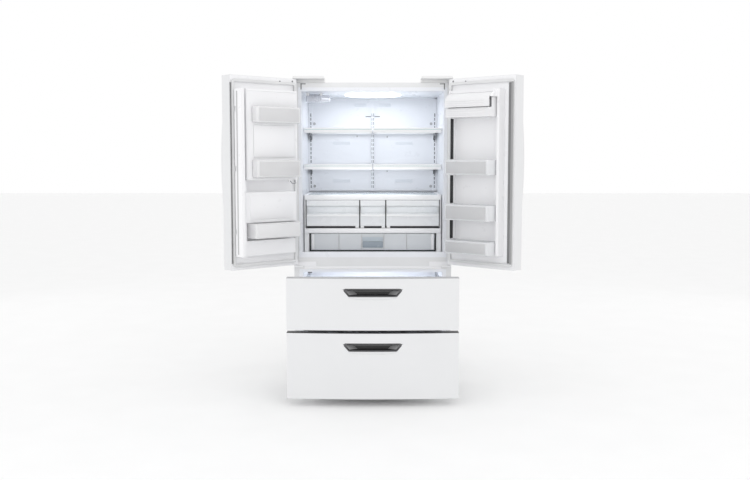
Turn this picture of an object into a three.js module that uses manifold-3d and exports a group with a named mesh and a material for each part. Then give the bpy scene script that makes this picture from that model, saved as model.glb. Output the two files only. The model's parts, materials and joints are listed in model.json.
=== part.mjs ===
// French door refrigerator with two freezer drawers, in millimetres, +Z up.
//
// Every piece is drawn where it sits with the doors and drawers shut, in the cabinet's own
// frame: X = 0 on the centre line, Y = 0 on the plane of the cabinet's front flange with +Y
// towards the back, and Z = 0 on the floor. Nested groups then swing the doors open and pull
// the freezer drawers out, and the outer group centres the whole on its footprint.

import * as THREE from 'three';
import { mergeVertices } from 'three/addons/utils/BufferGeometryUtils.js';
import Module from 'manifold-3d';

const wasm = await Module();
wasm.setup();

// ---------------------------------------------------------------- driving dimensions

const GAP = 0.3;                    // clearance between pieces that touch
const CLEAR = 3;                    // clearance round pieces that slide or swing

// cabinet
const caseWidth = 908;
const caseHeight = 1737;            // floor to the cabinet's top
const caseDepth = 743;              // front flange to the back, without the doors
const steel = 2;                    // sheet of the outer case
const plastic = 3;                  // wall of liners, bins and baskets
const sideFlange = 28;              // front flange beside and above the openings
const sideWall = 46;                // side wall with its insulation
const topWall = 47;
const backWall = 100;
const baseBottom = 32;              // underside of the base frame's rails
const baseTop = 55;                 // top of the base plate

// fridge and freezer openings
const fridgeFloor = 755;
const sillHeight = 13;              // lip at the front of the fridge floor
const sillDepth = 20;
const linerLip = 19;                // front lip of the liner below the fridge floor
const freezerCeiling = 652;
const freezerFloor = 100;
const freezerDividerTop = 420;
const freezerDividerBottom = 388;
const upperFreezerDepth = 600;
const lowerFreezerDepth = 540;
const freezerLip = 16;              // front lip of the freezer liner round its opening

// machine room
const machineRoomDepth = 143;
const machineRoomTop = 330;

// fridge doors
const doorBottom = 698;
const doorRise = 17;                // door's top above the cabinet's top
const doorSplit = 6;                // gap between the two doors
const doorEdge = 52;                // door thickness at the hinge side
const doorBow = 23;                 // how far the front bows out at the centre line
const gasketGap = 12;               // cabinet flange to door, filled by the gasket
const hingeInset = 8;               // hinge axis to the cabinet's side
const hingeBack = 15;               // hinge axis to the door's inner face
const doorAngle = 138;              // degrees open
const pinRadius = 4.5;
const dikeDepth = 52;               // inner panel's raised walls
const binDepth = 106;               // door bins and baskets, from the door's inner face

// freezer drawers
const drawerGap = 17;               // door to drawer, and drawer to drawer
const upperDrawerHeight = 272;
const lowerDrawerBottom = 42;
const drawerTravel = 460;

// fridge shelves and drawers
const shelfFront = 118;             // front of shelves and crispers, behind the door bins
const shelfDepth = 482;
const upperShelfTop = 1486;
const lowerShelfTop = 1272;
const crisperTop = 1093;            // top of the crisper frame
const crisperShelf = 27;            // thickness of its cover and its bottom shelf
const crisperHeight = 168;
const centreCrisperWidth = 153;
const frameSide = 12;               // crisper frame's side wall
const pantryWidth = 744;
const pantryCover = 869;            // underside of the shelf above the pantry drawer

// ---------------------------------------------------------------- derived places

const halfWidth = caseWidth / 2;
const doorInner = -gasketGap;
const doorTop = caseHeight + doorRise;
const linerHalf = halfWidth - sideWall;
const fridgeCeiling = caseHeight - topWall;
const fridgeBack = caseDepth - backWall - plastic;
const flangeHalf = halfWidth - sideFlange;
const fridgeLipTop = caseHeight - sideFlange + 2;
const fridgeLipBottom = fridgeFloor - linerLip;
const freezerHalf = linerHalf - 6;
const freezerLipTop = freezerCeiling + freezerLip;
const freezerLipBottom = freezerFloor - 40;
const machineRoomFront = caseDepth - machineRoomDepth;
const hingeX = halfWidth - hingeInset;
const hingeY = doorInner - hingeBack;
const doorWidth = halfWidth - doorSplit / 2;
const drawerTop = doorBottom - drawerGap;
const upperDrawerBottom = drawerTop - upperDrawerHeight;
const lowerDrawerTop = upperDrawerBottom - drawerGap;
const frontAtCentre = gasketGap + doorEdge + doorBow;
const sillTop = fridgeFloor + sillHeight;
const dikeBottom = sillTop + 8;
const dikeTop = fridgeCeiling - 8;

// ---------------------------------------------------------------- solids

// A closed three.js geometry as a solid that can be cut and joined.
function solid(geometry) {
  const plain = geometry.clone();
  plain.deleteAttribute('normal');
  plain.deleteAttribute('uv');
  const merged = mergeVertices(plain, 1e-4);
  return new wasm.Manifold(new wasm.Mesh({
    numProp: 3,
    vertProperties: new Float32Array(merged.attributes.position.array),
    triVerts: new Uint32Array(merged.index.array),
  }));
}

function geometryOf(body) {
  const { vertProperties, triVerts } = body.getMesh();
  const geometry = new THREE.BufferGeometry();
  geometry.setAttribute('position', new THREE.BufferAttribute(new Float32Array(vertProperties), 3));
  geometry.setIndex(new THREE.BufferAttribute(new Uint32Array(triVerts), 1));
  geometry.computeVertexNormals();
  return geometry;
}

const join = (...bodies) => bodies.reduce((all, body) => all.add(body));
const cut = (body, ...cutters) => cutters.reduce((rest, cutter) => rest.subtract(cutter), body);

// A block from its spans along X, Y and Z.
function block([x0, x1], [y0, y1], [z0, z1]) {
  const geometry = new THREE.BoxGeometry(x1 - x0, y1 - y0, z1 - z0);
  geometry.translate((x0 + x1) / 2, (y0 + y1) / 2, (z0 + z1) / 2);
  return solid(geometry);
}

// A round bar along X, Y or Z through (a, b), its other two coordinates in X, Y, Z order.
function bar(axis, radius, [from, to], a, b, segments = 16) {
  const geometry = new THREE.CylinderGeometry(radius, radius, to - from, segments);
  const middle = (from + to) / 2;
  if (axis === 'x') {
    geometry.rotateZ(Math.PI / 2);
    geometry.translate(middle, a, b);
  } else if (axis === 'y') {
    geometry.translate(a, middle, b);
  } else {
    geometry.rotateX(Math.PI / 2);
    geometry.translate(a, b, middle);
  }
  return solid(geometry);
}

function shapeOf(points) {
  return new THREE.Shape(points.map(([x, y]) => new THREE.Vector2(x, y)));
}

function extrude(shape, depth) {
  return new THREE.ExtrudeGeometry(shape, { depth, bevelEnabled: false, curveSegments: 5 });
}

// An outline in plan (X, Y) raised along Z.
function raise(points, [z0, z1]) {
  const geometry = extrude(shapeOf(points), z1 - z0);
  geometry.translate(0, 0, z0);
  return solid(geometry);
}

// An outline seen from the side (Y, Z) drawn out along X.
function drawAcross(points, [x0, x1]) {
  const geometry = extrude(shapeOf(points), x1 - x0);
  geometry.applyMatrix4(new THREE.Matrix4().makeBasis(
    new THREE.Vector3(0, 1, 0), new THREE.Vector3(0, 0, 1), new THREE.Vector3(1, 0, 0)));
  geometry.translate(x0, 0, 0);
  return solid(geometry);
}

// A shape seen from the front (X, Z) drawn back along Y.
function drawBack(shape, [y0, y1]) {
  const geometry = extrude(shape, y1 - y0);
  geometry.rotateX(Math.PI / 2);
  geometry.translate(0, y1, 0);
  return solid(geometry);
}

// A solid of revolution about a vertical line through (x, y), from [radius, z] points.
function turned(points, x, y, segments = 24) {
  const geometry = new THREE.LatheGeometry(points.map(([r, z]) => new THREE.Vector2(r, z)), segments);
  geometry.rotateX(Math.PI / 2);
  geometry.translate(x, y, 0);
  return solid(geometry);
}

// ---------------------------------------------------------------- sides and materials

// Spans on either side of the centre line: side is -1 on the left and 1 on the right.
const sideSpan = (side, a, b) => (side < 0 ? [-b, -a] : [a, b]);
// A span on a door, measured in from its hinge edge.
const doorSpan = (side, a, b) => sideSpan(side, halfWidth - b, halfWidth - a);
// The shared bowed front of doors and drawers, at a distance x from the centre line.
const frontAt = (x) => -(gasketGap + doorEdge + doorBow * (1 - (x / halfWidth) ** 2));

const finish = (color, roughness, metalness = 0) => ({ color, roughness, metalness });
const WHITE_STEEL = finish(0xe9eaec, 0.32);
const GREY_STEEL = finish(0xc4c5c7, 0.45);
const WHITE_PLASTIC = finish(0xf2f4f7, 0.4);
const CLEAR_PLASTIC = finish(0xdfe8ee, 0.15);
const GREY_PLASTIC = finish(0x9a9ea3, 0.5);
const DARK_PLASTIC = finish(0x2a2c2f, 0.45);
const GASKET = finish(0xb4b6b8, 0.8);
const GLASS = finish(0xd5e3e8, 0.08);
const ZINC = finish(0xa7abaf, 0.4, 0.9);
const FOAM = finish(0xe6dcb4, 0.9);
const BLACK_STEEL = finish(0x1d1e20, 0.5, 0.3);

const root = new THREE.Group();
root.name = 'refrigerator';

function add(parent, name, body, material) {
  const mesh = new THREE.Mesh(geometryOf(body), new THREE.MeshStandardMaterial(material));
  mesh.name = name;
  parent.add(mesh);
}

// A group whose pieces are drawn shut and which is turned about an axis through a point.
function hinged(parent, name, [x, y, z], axis, degrees) {
  const pivot = new THREE.Group();
  pivot.name = name;
  pivot.position.set(x, y, z);
  pivot.rotateOnAxis(new THREE.Vector3(...axis), THREE.MathUtils.degToRad(degrees));
  const pieces = new THREE.Group();
  pieces.position.set(-x, -y, -z);
  pivot.add(pieces);
  parent.add(pivot);
  return pieces;
}

// A group that is pulled towards the front by a distance.
function pulled(parent, name, distance) {
  const pieces = new THREE.Group();
  pieces.name = name;
  pieces.position.y = -distance;
  parent.add(pieces);
  return pieces;
}

const ALONG_X = [1, 0, 0];
const UPRIGHT = [0, 0, 1];

// A box that is open at the top, from its outer spans.
function openBox(x, y, z, wall) {
  const inner = (span) => [span[0] + wall, span[1] - wall];
  return cut(block(x, y, z), block(inner(x), inner(y), [z[0] + wall, z[1] + 1]));
}

// ---------------------------------------------------------------- cabinet

const cabinet = new THREE.Group();
root.add(cabinet);

function outerCase() {
  const shell = block([-halfWidth, halfWidth], [0, caseDepth], [baseBottom, caseHeight]);
  const inside = block(
    [-halfWidth + steel, halfWidth - steel], [steel, caseDepth - steel], [baseBottom - 1, caseHeight - steel]);
  const fridgeOpening = block([-flangeHalf, flangeHalf], [-1, steel + 1], [fridgeLipBottom, fridgeLipTop]);
  const freezerOpening = block([-flangeHalf, flangeHalf], [-1, steel + 1], [freezerLipBottom, freezerLipTop]);
  const toeOpening = block([-flangeHalf, flangeHalf], [-1, steel + 1], [baseBottom - 1, baseTop]);
  const machineOpening = block(
    [-halfWidth + sideFlange, halfWidth - sideFlange], [caseDepth - steel - 1, caseDepth + 1],
    [baseTop - 1, machineRoomTop]);
  const rearToe = block(
    [-halfWidth + steel, halfWidth - steel], [caseDepth - steel - 1, caseDepth + 1], [baseBottom - 1, baseTop]);
  return cut(shell, inside, fridgeOpening, freezerOpening, toeOpening, machineOpening, rearToe);
}

// The freezer liner's two tubs as blocks, each grown by a margin on its hidden sides.
function freezerTubs(grow, front) {
  const x = freezerHalf + grow;
  return [
    block([-x, x], [front, upperFreezerDepth + grow], [freezerDividerTop - grow, freezerCeiling + grow]),
    block([-x, x], [front, lowerFreezerDepth + grow], [freezerFloor - grow, freezerDividerBottom + grow]),
  ];
}

function foamCore() {
  const x = halfWidth - steel - GAP;
  const body = block(
    [-x, x], [steel + GAP, caseDepth - steel - GAP], [baseTop + GAP, caseHeight - steel - GAP]);
  const hollow = linerHalf + plastic + GAP;
  const fridge = block(
    [-hollow, hollow], [0, fridgeBack + plastic + GAP],
    [fridgeFloor - plastic - GAP, fridgeCeiling + plastic + GAP]);
  const machineHalf = halfWidth - sideWall;
  const machineRoom = block([-machineHalf, machineHalf], [machineRoomFront, caseDepth], [0, machineRoomTop]);
  return cut(body, fridge, ...freezerTubs(plastic + GAP, 0), machineRoom);
}

function fridgeLiner() {
  const outer = linerHalf + plastic;
  const lip = flangeHalf - GAP;
  const shell = join(
    block([-outer, outer], [0, fridgeBack + plastic], [fridgeFloor - plastic, fridgeCeiling + plastic]),
    block([-lip, lip], [0, steel], [fridgeLipBottom + GAP, fridgeLipTop - GAP]));
  const room = block([-linerHalf, linerHalf], [-1, fridgeBack], [fridgeFloor, fridgeCeiling]);
  const sill = block([-linerHalf - 1, linerHalf + 1], [0, sillDepth], [fridgeFloor - 1, sillTop]);
  return join(cut(shell, room), sill);
}

function freezerLiner() {
  const lip = flangeHalf - GAP;
  const shell = join(
    block([-lip, lip], [0, steel], [freezerLipBottom + GAP, freezerLipTop - GAP]),
    ...freezerTubs(plastic, 0));
  return cut(shell, ...freezerTubs(0, -1));
}

// Base frame: a plate with downturned edges on two side rails and a front beam, bored for the
// levelling legs, with a pair of ears for each rear roller and the stand of the condenser fan.
const railSpan = [halfWidth - 58, halfWidth - 18];
const legX = halfWidth - 38;
const legY = 45;
const legRadius = 6;
const rollerX = halfWidth - 82;
const rollerY = 690;
const rollerRadius = 22;
const rollerWidth = 22;
const axleRadius = 4;
const earWall = 4;

function baseFrame() {
  const plateHalf = halfWidth - steel - GAP;
  const plateY = [24, caseDepth - steel - GAP];
  let body = join(
    block([-plateHalf, plateHalf], plateY, [baseTop - plastic, baseTop]),
    block([-railSpan[1], railSpan[1]], [25, 66], [baseBottom, baseTop - 1]));
  for (const side of [-1, 1]) {
    body = join(
      body,
      block(sideSpan(side, ...railSpan), [26, machineRoomFront], [baseBottom, baseTop - 1]),
      block(sideSpan(side, plateHalf - plastic, plateHalf), plateY, [baseBottom + 1, baseTop]));
    for (const offset of [-1, 1]) {
      const near = rollerX + offset * (rollerWidth / 2 + 1.5 + earWall / 2) - earWall / 2;
      const ear = block(
        sideSpan(side, near, near + earWall), [rollerY - 16, rollerY + 16], [12, baseTop - 1]);
      body = join(body, ear);
    }
    body = cut(
      body,
      bar('z', legRadius + GAP, [baseBottom - 1, baseTop - plastic - 1], side * legX, legY),
      bar('x', axleRadius + GAP, sideSpan(side, rollerX - 40, rollerX + 40), rollerY, rollerRadius));
  }
  return join(body, fanStand());
}

function levellingLeg(side) {
  return turned(
    [[0, 0], [17, 0], [20, 3], [20, 10], [10, 14], [legRadius, 14], [legRadius, baseTop - 6], [0, baseTop - 6]],
    side * legX, legY, 20);
}

function rearRoller(side) {
  const stub = rollerWidth / 2 + 1.5 + earWall + 1;
  const wheel = bar('x', rollerRadius, sideSpan(side, rollerX - rollerWidth / 2, rollerX + rollerWidth / 2),
    rollerY, rollerRadius, 32);
  const axle = bar('x', axleRadius, sideSpan(side, rollerX - stub, rollerX + stub), rollerY, rollerRadius, 12);
  return join(wheel, axle);
}

// Slots cut through a plate: count of them, of one width, spread over a span of X.
function slots(span, count, width, y, z) {
  const pitch = (span[1] - span[0]) / count;
  const list = [];
  for (let i = 0; i < count; i += 1) {
    const middle = span[0] + pitch * (i + 0.5);
    list.push(block([middle - width / 2, middle + width / 2], y, z));
  }
  return list;
}

function toeGrille() {
  const half = flangeHalf - 6;
  const panel = block([-half, half], [4, 24 - GAP], [8, baseTop - 4]);
  const behind = block([-half + 4, half - 4], [8, 30], [4, baseTop - 8]);
  return cut(panel, behind, ...slots([-half + 20, half - 20], 11, 52, [0, 12], [18, 26]));
}

function rearCover() {
  const half = halfWidth - sideFlange - GAP;
  const panel = block([-half, half], [caseDepth - steel, caseDepth], [baseTop + GAP, machineRoomTop - GAP]);
  const rows = [[120, 180], [210, 270]];
  const holes = rows.flatMap((row) => slots([-half + 60, half - 60], 9, 14, [caseDepth - 5, caseDepth + 5], row));
  return cut(panel, ...holes);
}

const machineMiddle = machineRoomFront + machineRoomDepth / 2;

function compressor() {
  const foot = baseTop + GAP;
  return turned(
    [[0, foot], [58, foot], [60, foot + 4], [60, foot + 12], [56, foot + 16], [60, foot + 40], [60, foot + 100],
      [50, foot + 135], [28, foot + 158], [0, foot + 165]],
    250, machineMiddle - 2, 24);
}

const condenserSpan = [-330, -120];

function condenser() {
  const top = baseTop + 165;
  const body = block(condenserSpan, [machineRoomFront + 15, caseDepth - 20], [baseTop + GAP, top]);
  const gaps = slots([condenserSpan[0] + 10, condenserSpan[1] - 10], 8, 14,
    [machineRoomFront, caseDepth], [baseTop + 14, top + 5]);
  return cut(body, ...gaps);
}

// The fan blows along X from the condenser to the compressor.
const fanX = 60;
const fanZ = baseTop + 90;
const fanRadius = 58;

function fanStand() {
  const plate = block([fanX + 14, fanX + 20], [machineMiddle - 62, machineMiddle + 62], [baseTop - 1, baseTop + 160]);
  const mouth = bar('x', fanRadius - 6, [fanX + 10, fanX + 24], machineMiddle, fanZ, 24);
  const spoke = block([fanX + 15, fanX + 19], [machineMiddle - 61, machineMiddle + 61], [fanZ - 6, fanZ + 6]);
  return cut(join(cut(plate, mouth), spoke), bar('x', 4 + GAP, [fanX, fanX + 40], machineMiddle, fanZ, 12));
}

function condenserFan() {
  let body = join(
    bar('x', 16, [fanX - 8, fanX + 11], machineMiddle, fanZ, 18),
    bar('x', 4, [fanX, fanX + 22], machineMiddle, fanZ, 12));
  const blade = new THREE.BoxGeometry(3, 24, fanRadius - 18);
  blade.rotateZ(THREE.MathUtils.degToRad(32));
  blade.translate(0, 0, (fanRadius - 18) / 2 + 12);
  for (let i = 0; i < 5; i += 1) {
    const turnedBlade = blade.clone();
    turnedBlade.rotateX((i / 5) * 2 * Math.PI);
    turnedBlade.translate(fanX + 1, machineMiddle, fanZ);
    body = join(body, solid(turnedBlade));
  }
  return body;
}

// Top hinge: a cranked bracket on the cabinet's top whose pin drops into the door.
const bracket = 5;
const hingeRaise = 5;               // bracket's underside above the door's top
const coverLength = 178;            // hinge cover along the cabinet's front edge
const coverInner = halfWidth - coverLength;
const coverTop = 35;                // cover's height above the cabinet
const coverWall = 2;
const coverNose = 17;               // cover past the hinge axis, towards the front
const coverBack = 110;

function topHinge(side) {
  const armBottom = doorTop + hingeRaise;
  const x = (a, b) => sideSpan(side, halfWidth - b, halfWidth - a);
  return join(
    block(x(8, 100), [12, 95], [caseHeight + GAP, caseHeight + bracket]),
    block(x(8, 60), [12, 12 + bracket], [caseHeight + GAP, armBottom + bracket]),
    block(x(2.5, 60), [hingeY - 12, 12 + bracket], [armBottom, armBottom + bracket]),
    bar('z', pinRadius, [doorTop - 16, armBottom + 1], side * hingeX, hingeY));
}

function hingeCover(side) {
  const top = caseHeight + coverTop;
  const shell = drawAcross([
    [hingeY - coverNose, doorTop + 2],
    [hingeY - coverNose, top - 8],
    [hingeY - coverNose + 8, top],
    [coverBack - 14, top],
    [coverBack, caseHeight + 6],
    [coverBack, caseHeight + GAP],
    [2, caseHeight + GAP],
    [2, doorTop + 2],
  ], sideSpan(side, coverInner, halfWidth));
  const hollow = drawAcross([
    [hingeY - coverNose + coverWall, doorTop],
    [hingeY - coverNose + coverWall, top - coverWall],
    [coverBack - 18, top - coverWall],
    [coverBack - coverWall, caseHeight + 4],
    [coverBack - coverWall, caseHeight - 1],
    [4, caseHeight - 1],
    [4, doorTop],
  ], sideSpan(side, coverInner + coverWall, halfWidth - coverWall));
  return cut(shell, hollow);
}

// Middle hinge: a plate on the front rail whose arm carries the door's lower pin.
const midHingeInner = halfWidth - 127;

function midHinge(side) {
  const armBottom = doorBottom - 13;
  return join(
    block(sideSpan(side, midHingeInner, halfWidth - 2), [-4, -GAP], [armBottom, doorBottom + 14]),
    block(sideSpan(side, halfWidth - 54, halfWidth - 2), [hingeY - 12, -GAP], [armBottom, armBottom + bracket]),
    bar('z', pinRadius, [armBottom + 1, doorBottom + 18], side * hingeX, hingeY));
}

add(cabinet, 'outer_case', outerCase(), WHITE_STEEL);
add(cabinet, 'foam_core', foamCore(), FOAM);
add(cabinet, 'fridge_liner', fridgeLiner(), WHITE_PLASTIC);
add(cabinet, 'freezer_liner', freezerLiner(), WHITE_PLASTIC);
add(cabinet, 'base_frame', baseFrame(), ZINC);
add(cabinet, 'toe_grille', toeGrille(), GREY_PLASTIC);
add(cabinet, 'rear_cover', rearCover(), ZINC);
add(cabinet, 'compressor', compressor(), BLACK_STEEL);
add(cabinet, 'condenser', condenser(), BLACK_STEEL);
const fanSpin = hinged(cabinet, 'fan_spin', [fanX, machineMiddle, fanZ], ALONG_X, 0);
add(fanSpin, 'condenser_fan', condenserFan(), DARK_PLASTIC);
for (const [side, word] of [[-1, 'left'], [1, 'right']]) {
  add(cabinet, `leveling_leg_${word}`, levellingLeg(side), ZINC);
  const rollerSpin = hinged(
    cabinet, `roller_${word}_spin`, [side * rollerX, rollerY, rollerRadius], ALONG_X, 0);
  add(rollerSpin, `rear_roller_${word}`, rearRoller(side), DARK_PLASTIC);
  add(cabinet, `top_hinge_${word}`, topHinge(side), ZINC);
  add(cabinet, `hinge_cover_${word}`, hingeCover(side), WHITE_PLASTIC);
  add(cabinet, `mid_hinge_${word}`, midHinge(side), WHITE_STEEL);
}

// ---------------------------------------------------------------- fridge interior

// Air duct cover on the back wall, with the three slotted rails that carry the shelves.
const ductPlate = 16;
const railRise = 14;
const railHalf = 11;
const slotPitch = (upperShelfTop - lowerShelfTop) / 4;
const slotHeight = 22;
const slotHalf = 2;
const ductHalf = linerHalf - CLEAR;
const outerSlot = ductHalf - railHalf;
const innerSlot = 5;                // the centre rail has two rows of slots

function airDuctCover() {
  const back = fridgeBack - GAP;
  const face = back - ductPlate;
  const z = [crisperTop + 8, fridgeCeiling - 8];
  let body = block([-ductHalf, ductHalf], [face, back], z);
  for (const middle of [-outerSlot, 0, outerSlot]) {
    body = join(body, block([middle - railHalf, middle + railHalf], [face - railRise, face + 1], z));
  }
  const slotList = [];
  for (const middle of [-outerSlot, -innerSlot, innerSlot, outerSlot]) {
    for (let step = -2; step <= 6; step += 1) {
      const top = lowerShelfTop + step * slotPitch;
      slotList.push(block(
        [middle - slotHalf, middle + slotHalf], [face - railRise - 1, face - 2], [top - slotHeight, top]));
    }
  }
  return cut(body, ...slotList);
}

function lampLens() {
  const oval = new THREE.Shape();
  oval.absellipse(0, 310, 170, 110, 0, 2 * Math.PI);
  const geometry = extrude(oval, 12);
  geometry.translate(0, 0, fridgeCeiling - GAP - 12);
  return solid(geometry);
}

function waterFilter() {
  const body = bar('x', 26, [-380, -285], 170, fridgeCeiling - 32, 20);
  const knob = bar('x', 20, [-290, -252], 170, fridgeCeiling - 32, 20);
  const mount = block([-392, -300], [150, 190], [fridgeCeiling - 30, fridgeCeiling - GAP]);
  return join(body, knob, mount);
}

// A glass shelf in its frame: front trim, two side arms and a rear rail, hung by two hooks in
// the slots of the rails on the back wall.
function shelf(side, top) {
  const x = sideSpan(side, CLEAR, linerHalf - CLEAR - 2);
  const back = fridgeBack - ductPlate - railRise - 2 * GAP;
  const hooks = [innerSlot, outerSlot].map((middle) => block(
    sideSpan(side, middle - slotHalf + GAP, middle + slotHalf - GAP), [back - 1, back + 9], [top - 18, top - 4]));
  return join(
    ...hooks,
    block([x[0] + 4, x[1] - 4], [shelfFront + 10, back - 5], [top - 6, top - 2]),
    block(x, [shelfFront, shelfFront + 16], [top - 30, top]),
    block([x[0] + 1, x[0] + 9], [shelfFront + 4, back - 3], [top - 22, top - 1]),
    block([x[1] - 9, x[1] - 1], [shelfFront + 4, back - 3], [top - 22, top - 1]),
    block([x[0] + 2, x[1] - 2], [back - 12, back], [top - 26, top]));
}

const frameHalf = linerHalf - CLEAR - 2;
const cellTop = crisperTop - crisperShelf;
const cellBottom = pantryCover + crisperShelf;
const cellInner = centreCrisperWidth / 2;

// Crisper frame: cover, bottom shelf, side walls and the two dividers between three cells,
// standing on the fridge floor on either side of the pantry drawer.
function crisperFrame() {
  const outline = shapeOf([
    [-frameHalf, fridgeFloor + GAP], [-pantryWidth / 2 - CLEAR, fridgeFloor + GAP],
    [-pantryWidth / 2 - CLEAR, pantryCover], [pantryWidth / 2 + CLEAR, pantryCover],
    [pantryWidth / 2 + CLEAR, fridgeFloor + GAP], [frameHalf, fridgeFloor + GAP],
    [frameHalf, crisperTop], [-frameHalf, crisperTop],
  ]);
  const cells = [
    [-frameHalf + frameSide, -cellInner - 2], [-cellInner + 2, cellInner - 2], [cellInner + 2, frameHalf - frameSide]];
  const y = [shelfFront + 4, shelfFront + shelfDepth];
  const body = drawBack(outline, y);
  return cut(body, ...cells.map((cell) => block(cell, [y[0] - 1, y[1] + 1], [cellBottom, cellTop])));
}

// A crisper or the pantry drawer: an open box with a thicker front that holds a finger pull.
function foodDrawer(x, z, wall, pull) {
  const front = block(x, [shelfFront - 4, shelfFront + 8], z);
  const tub = openBox([x[0] + 1, x[1] - 1], [shelfFront, shelfFront + shelfDepth - 40], [z[0], z[1] - 8], wall);
  return cut(join(front, tub), block(pull, [shelfFront - 5, shelfFront + 3], [z[1] - 55, z[1] - 30]));
}

add(cabinet, 'air_duct_cover', airDuctCover(), WHITE_PLASTIC);
add(cabinet, 'lamp_lens', lampLens(), CLEAR_PLASTIC);
add(cabinet, 'water_filter', waterFilter(), GREY_PLASTIC);
add(cabinet, 'crisper_frame', crisperFrame(), WHITE_PLASTIC);
for (const [side, word] of [[-1, 'left'], [1, 'right']]) {
  add(cabinet, `shelf_upper_${word}`, shelf(side, upperShelfTop), GLASS);
  add(cabinet, `shelf_lower_${word}`, shelf(side, lowerShelfTop), GLASS);
}

const crisperZ = [cellBottom + CLEAR, cellBottom + CLEAR + crisperHeight - 6];
const outerCrisper = [cellInner + 2 + 1.5, frameHalf - frameSide - 1.5];
add(cabinet, 'crisper_left', foodDrawer([-outerCrisper[1], -outerCrisper[0]], crisperZ, plastic,
  [-outerCrisper[1] + 12, -outerCrisper[0] - 12]), CLEAR_PLASTIC);
add(cabinet, 'crisper_center', foodDrawer([-cellInner + 3.5, cellInner - 3.5], crisperZ, plastic,
  [-cellInner + 14, cellInner - 14]), CLEAR_PLASTIC);
add(cabinet, 'crisper_right', foodDrawer(outerCrisper, crisperZ, plastic,
  [outerCrisper[0] + 12, outerCrisper[1] - 12]), CLEAR_PLASTIC);
add(cabinet, 'pantry_drawer', foodDrawer([-pantryWidth / 2, pantryWidth / 2], [sillTop + CLEAR, pantryCover - CLEAR],
  plastic, [-60, 60]), CLEAR_PLASTIC);

// ---------------------------------------------------------------- fridge doors

// A door slab: steel skin round its insulation, bowed at the front, bored for the hinge pins.
function doorSlab(side, z) {
  const steps = 8;
  const hinge = halfWidth;
  const free = halfWidth - doorWidth;
  const points = [];
  for (let i = 0; i <= steps; i += 1) {
    const x = hinge + (free - hinge) * (i / steps);
    points.push([side * x, frontAt(x)]);
  }
  const inner = doorInner - plastic - GAP;
  points.push([side * free, inner], [side * hinge, inner]);
  const bore = pinRadius + GAP;
  return cut(
    raise(points, z),
    bar('z', bore, [z[1] - 20, z[1] + 1], side * hingeX, hingeY),
    bar('z', bore, [z[0] - 1, z[0] + 22], side * hingeX, hingeY));
}

// A door gasket: a ring on the door's inner face, narrower along the free edge.
const gasketHinge = 12;
const gasketWidth = 18;
const gasketFree = [doorWidth - 22, doorWidth - 6];
const gasketZ = [doorBottom + 18, fridgeCeiling + 43];

function doorGasket(side) {
  const y = [doorInner + GAP, -GAP];
  return cut(
    block(doorSpan(side, gasketHinge, gasketFree[1]), y, gasketZ),
    block(doorSpan(side, gasketHinge + gasketWidth, gasketFree[0]), [y[0] - 1, y[1] + 1],
      [gasketZ[0] + gasketWidth, gasketZ[1] - gasketWidth]));
}

const dikeHinge = 50;
const dikeFree = doorWidth - 69;
const dikeFront = doorInner + dikeDepth;

function linerPlate(side) {
  return block(doorSpan(side, 2, doorWidth - 2), [doorInner - plastic, doorInner], [doorBottom + 2, doorTop - 2]);
}

// A low arched grip along the free edge: thickest half way up, with a finger groove that
// opens towards the hinge side.
const gripBottom = 986;
const gripTop = 1569;
const gripRise = 24;
const gripSpan = [doorWidth - 32, doorWidth - 6];
const gripWeb = 8;
const gripCap = 9;
const gripFoot = 1;                 // thickness left at the grip's two ends
const gripEnd = 90;                 // solid length at each end, past the finger groove

function doorGrip(side) {
  const face = frontAt(halfWidth - gripSpan[1]) - GAP;
  const steps = 14;
  const arc = (rise, margin) => {
    const points = [];
    for (let i = 0; i <= steps; i += 1) {
      const along = i / steps;
      const z = gripBottom + margin + (gripTop - gripBottom - 2 * margin) * along;
      points.push([face - gripFoot - rise * Math.sin(Math.PI * along), z]);
    }
    return points;
  };
  const body = drawAcross(
    [...arc(gripRise, 0), [face, gripTop], [face, gripBottom]], doorSpan(side, ...gripSpan));
  const groove = drawAcross(
    [...arc(gripRise - gripCap, gripEnd), [face + 1, gripTop - gripEnd], [face + 1, gripBottom + gripEnd]],
    doorSpan(side, gripSpan[0] - 1, gripSpan[1] - gripWeb));
  return cut(body, groove);
}

// A bin or basket on a door: open at the top, and narrower at its front on the free side.
function doorBin(side, from, to, taper, y, z) {
  const x = (value) => side * (halfWidth - value);
  const outline = (inset) => [
    [x(from + inset), y[0] + inset], [x(from + inset), y[1] - inset],
    [x(to - taper - inset), y[1] - inset], [x(to - inset), y[0] + inset]];
  return cut(raise(outline(0), z), raise(outline(plastic), [z[0] + plastic, z[1] + 1]));
}

const doors = {};
for (const [side, word] of [[-1, 'left'], [1, 'right']]) {
  doors[word] = hinged(cabinet, `${word}_door_hinge`, [side * hingeX, hingeY, 0], UPRIGHT, side * doorAngle);
  add(doors[word], `${word}_door_gasket`, doorGasket(side), GASKET);
  add(doors[word], `${word}_grip`, doorGrip(side), WHITE_STEEL);
}

// ---------------------------------------------------------------- left door

// Ice and water dispenser: an alcove unit set into a pocket of the left door.
const dispenserMiddle = 222;        // from the door's hinge edge
const dispenserWidth = 232;
const dispenserX = doorSpan(-1, dispenserMiddle - dispenserWidth / 2, dispenserMiddle + dispenserWidth / 2);
const dispenserZ = [984, 1376];
const dispenserBack = -31;
const alcoveTop = 1236;
const alcoveWall = 10;
const bezelProud = 1.5;
const paddleX = doorSpan(-1, dispenserMiddle - 32, dispenserMiddle + 32);
const paddleHinge = [-54, alcoveTop - 14];
const paddlePin = 4;
const lug = 6;
const paddlePinSpan = [paddleX[0] - lug - 2, paddleX[1] + lug + 2];

function leftDoorShell() {
  const pocket = block(dispenserX, [-200, dispenserBack], dispenserZ);
  return cut(doorSlab(-1, [doorBottom, doorTop]), pocket);
}

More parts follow.
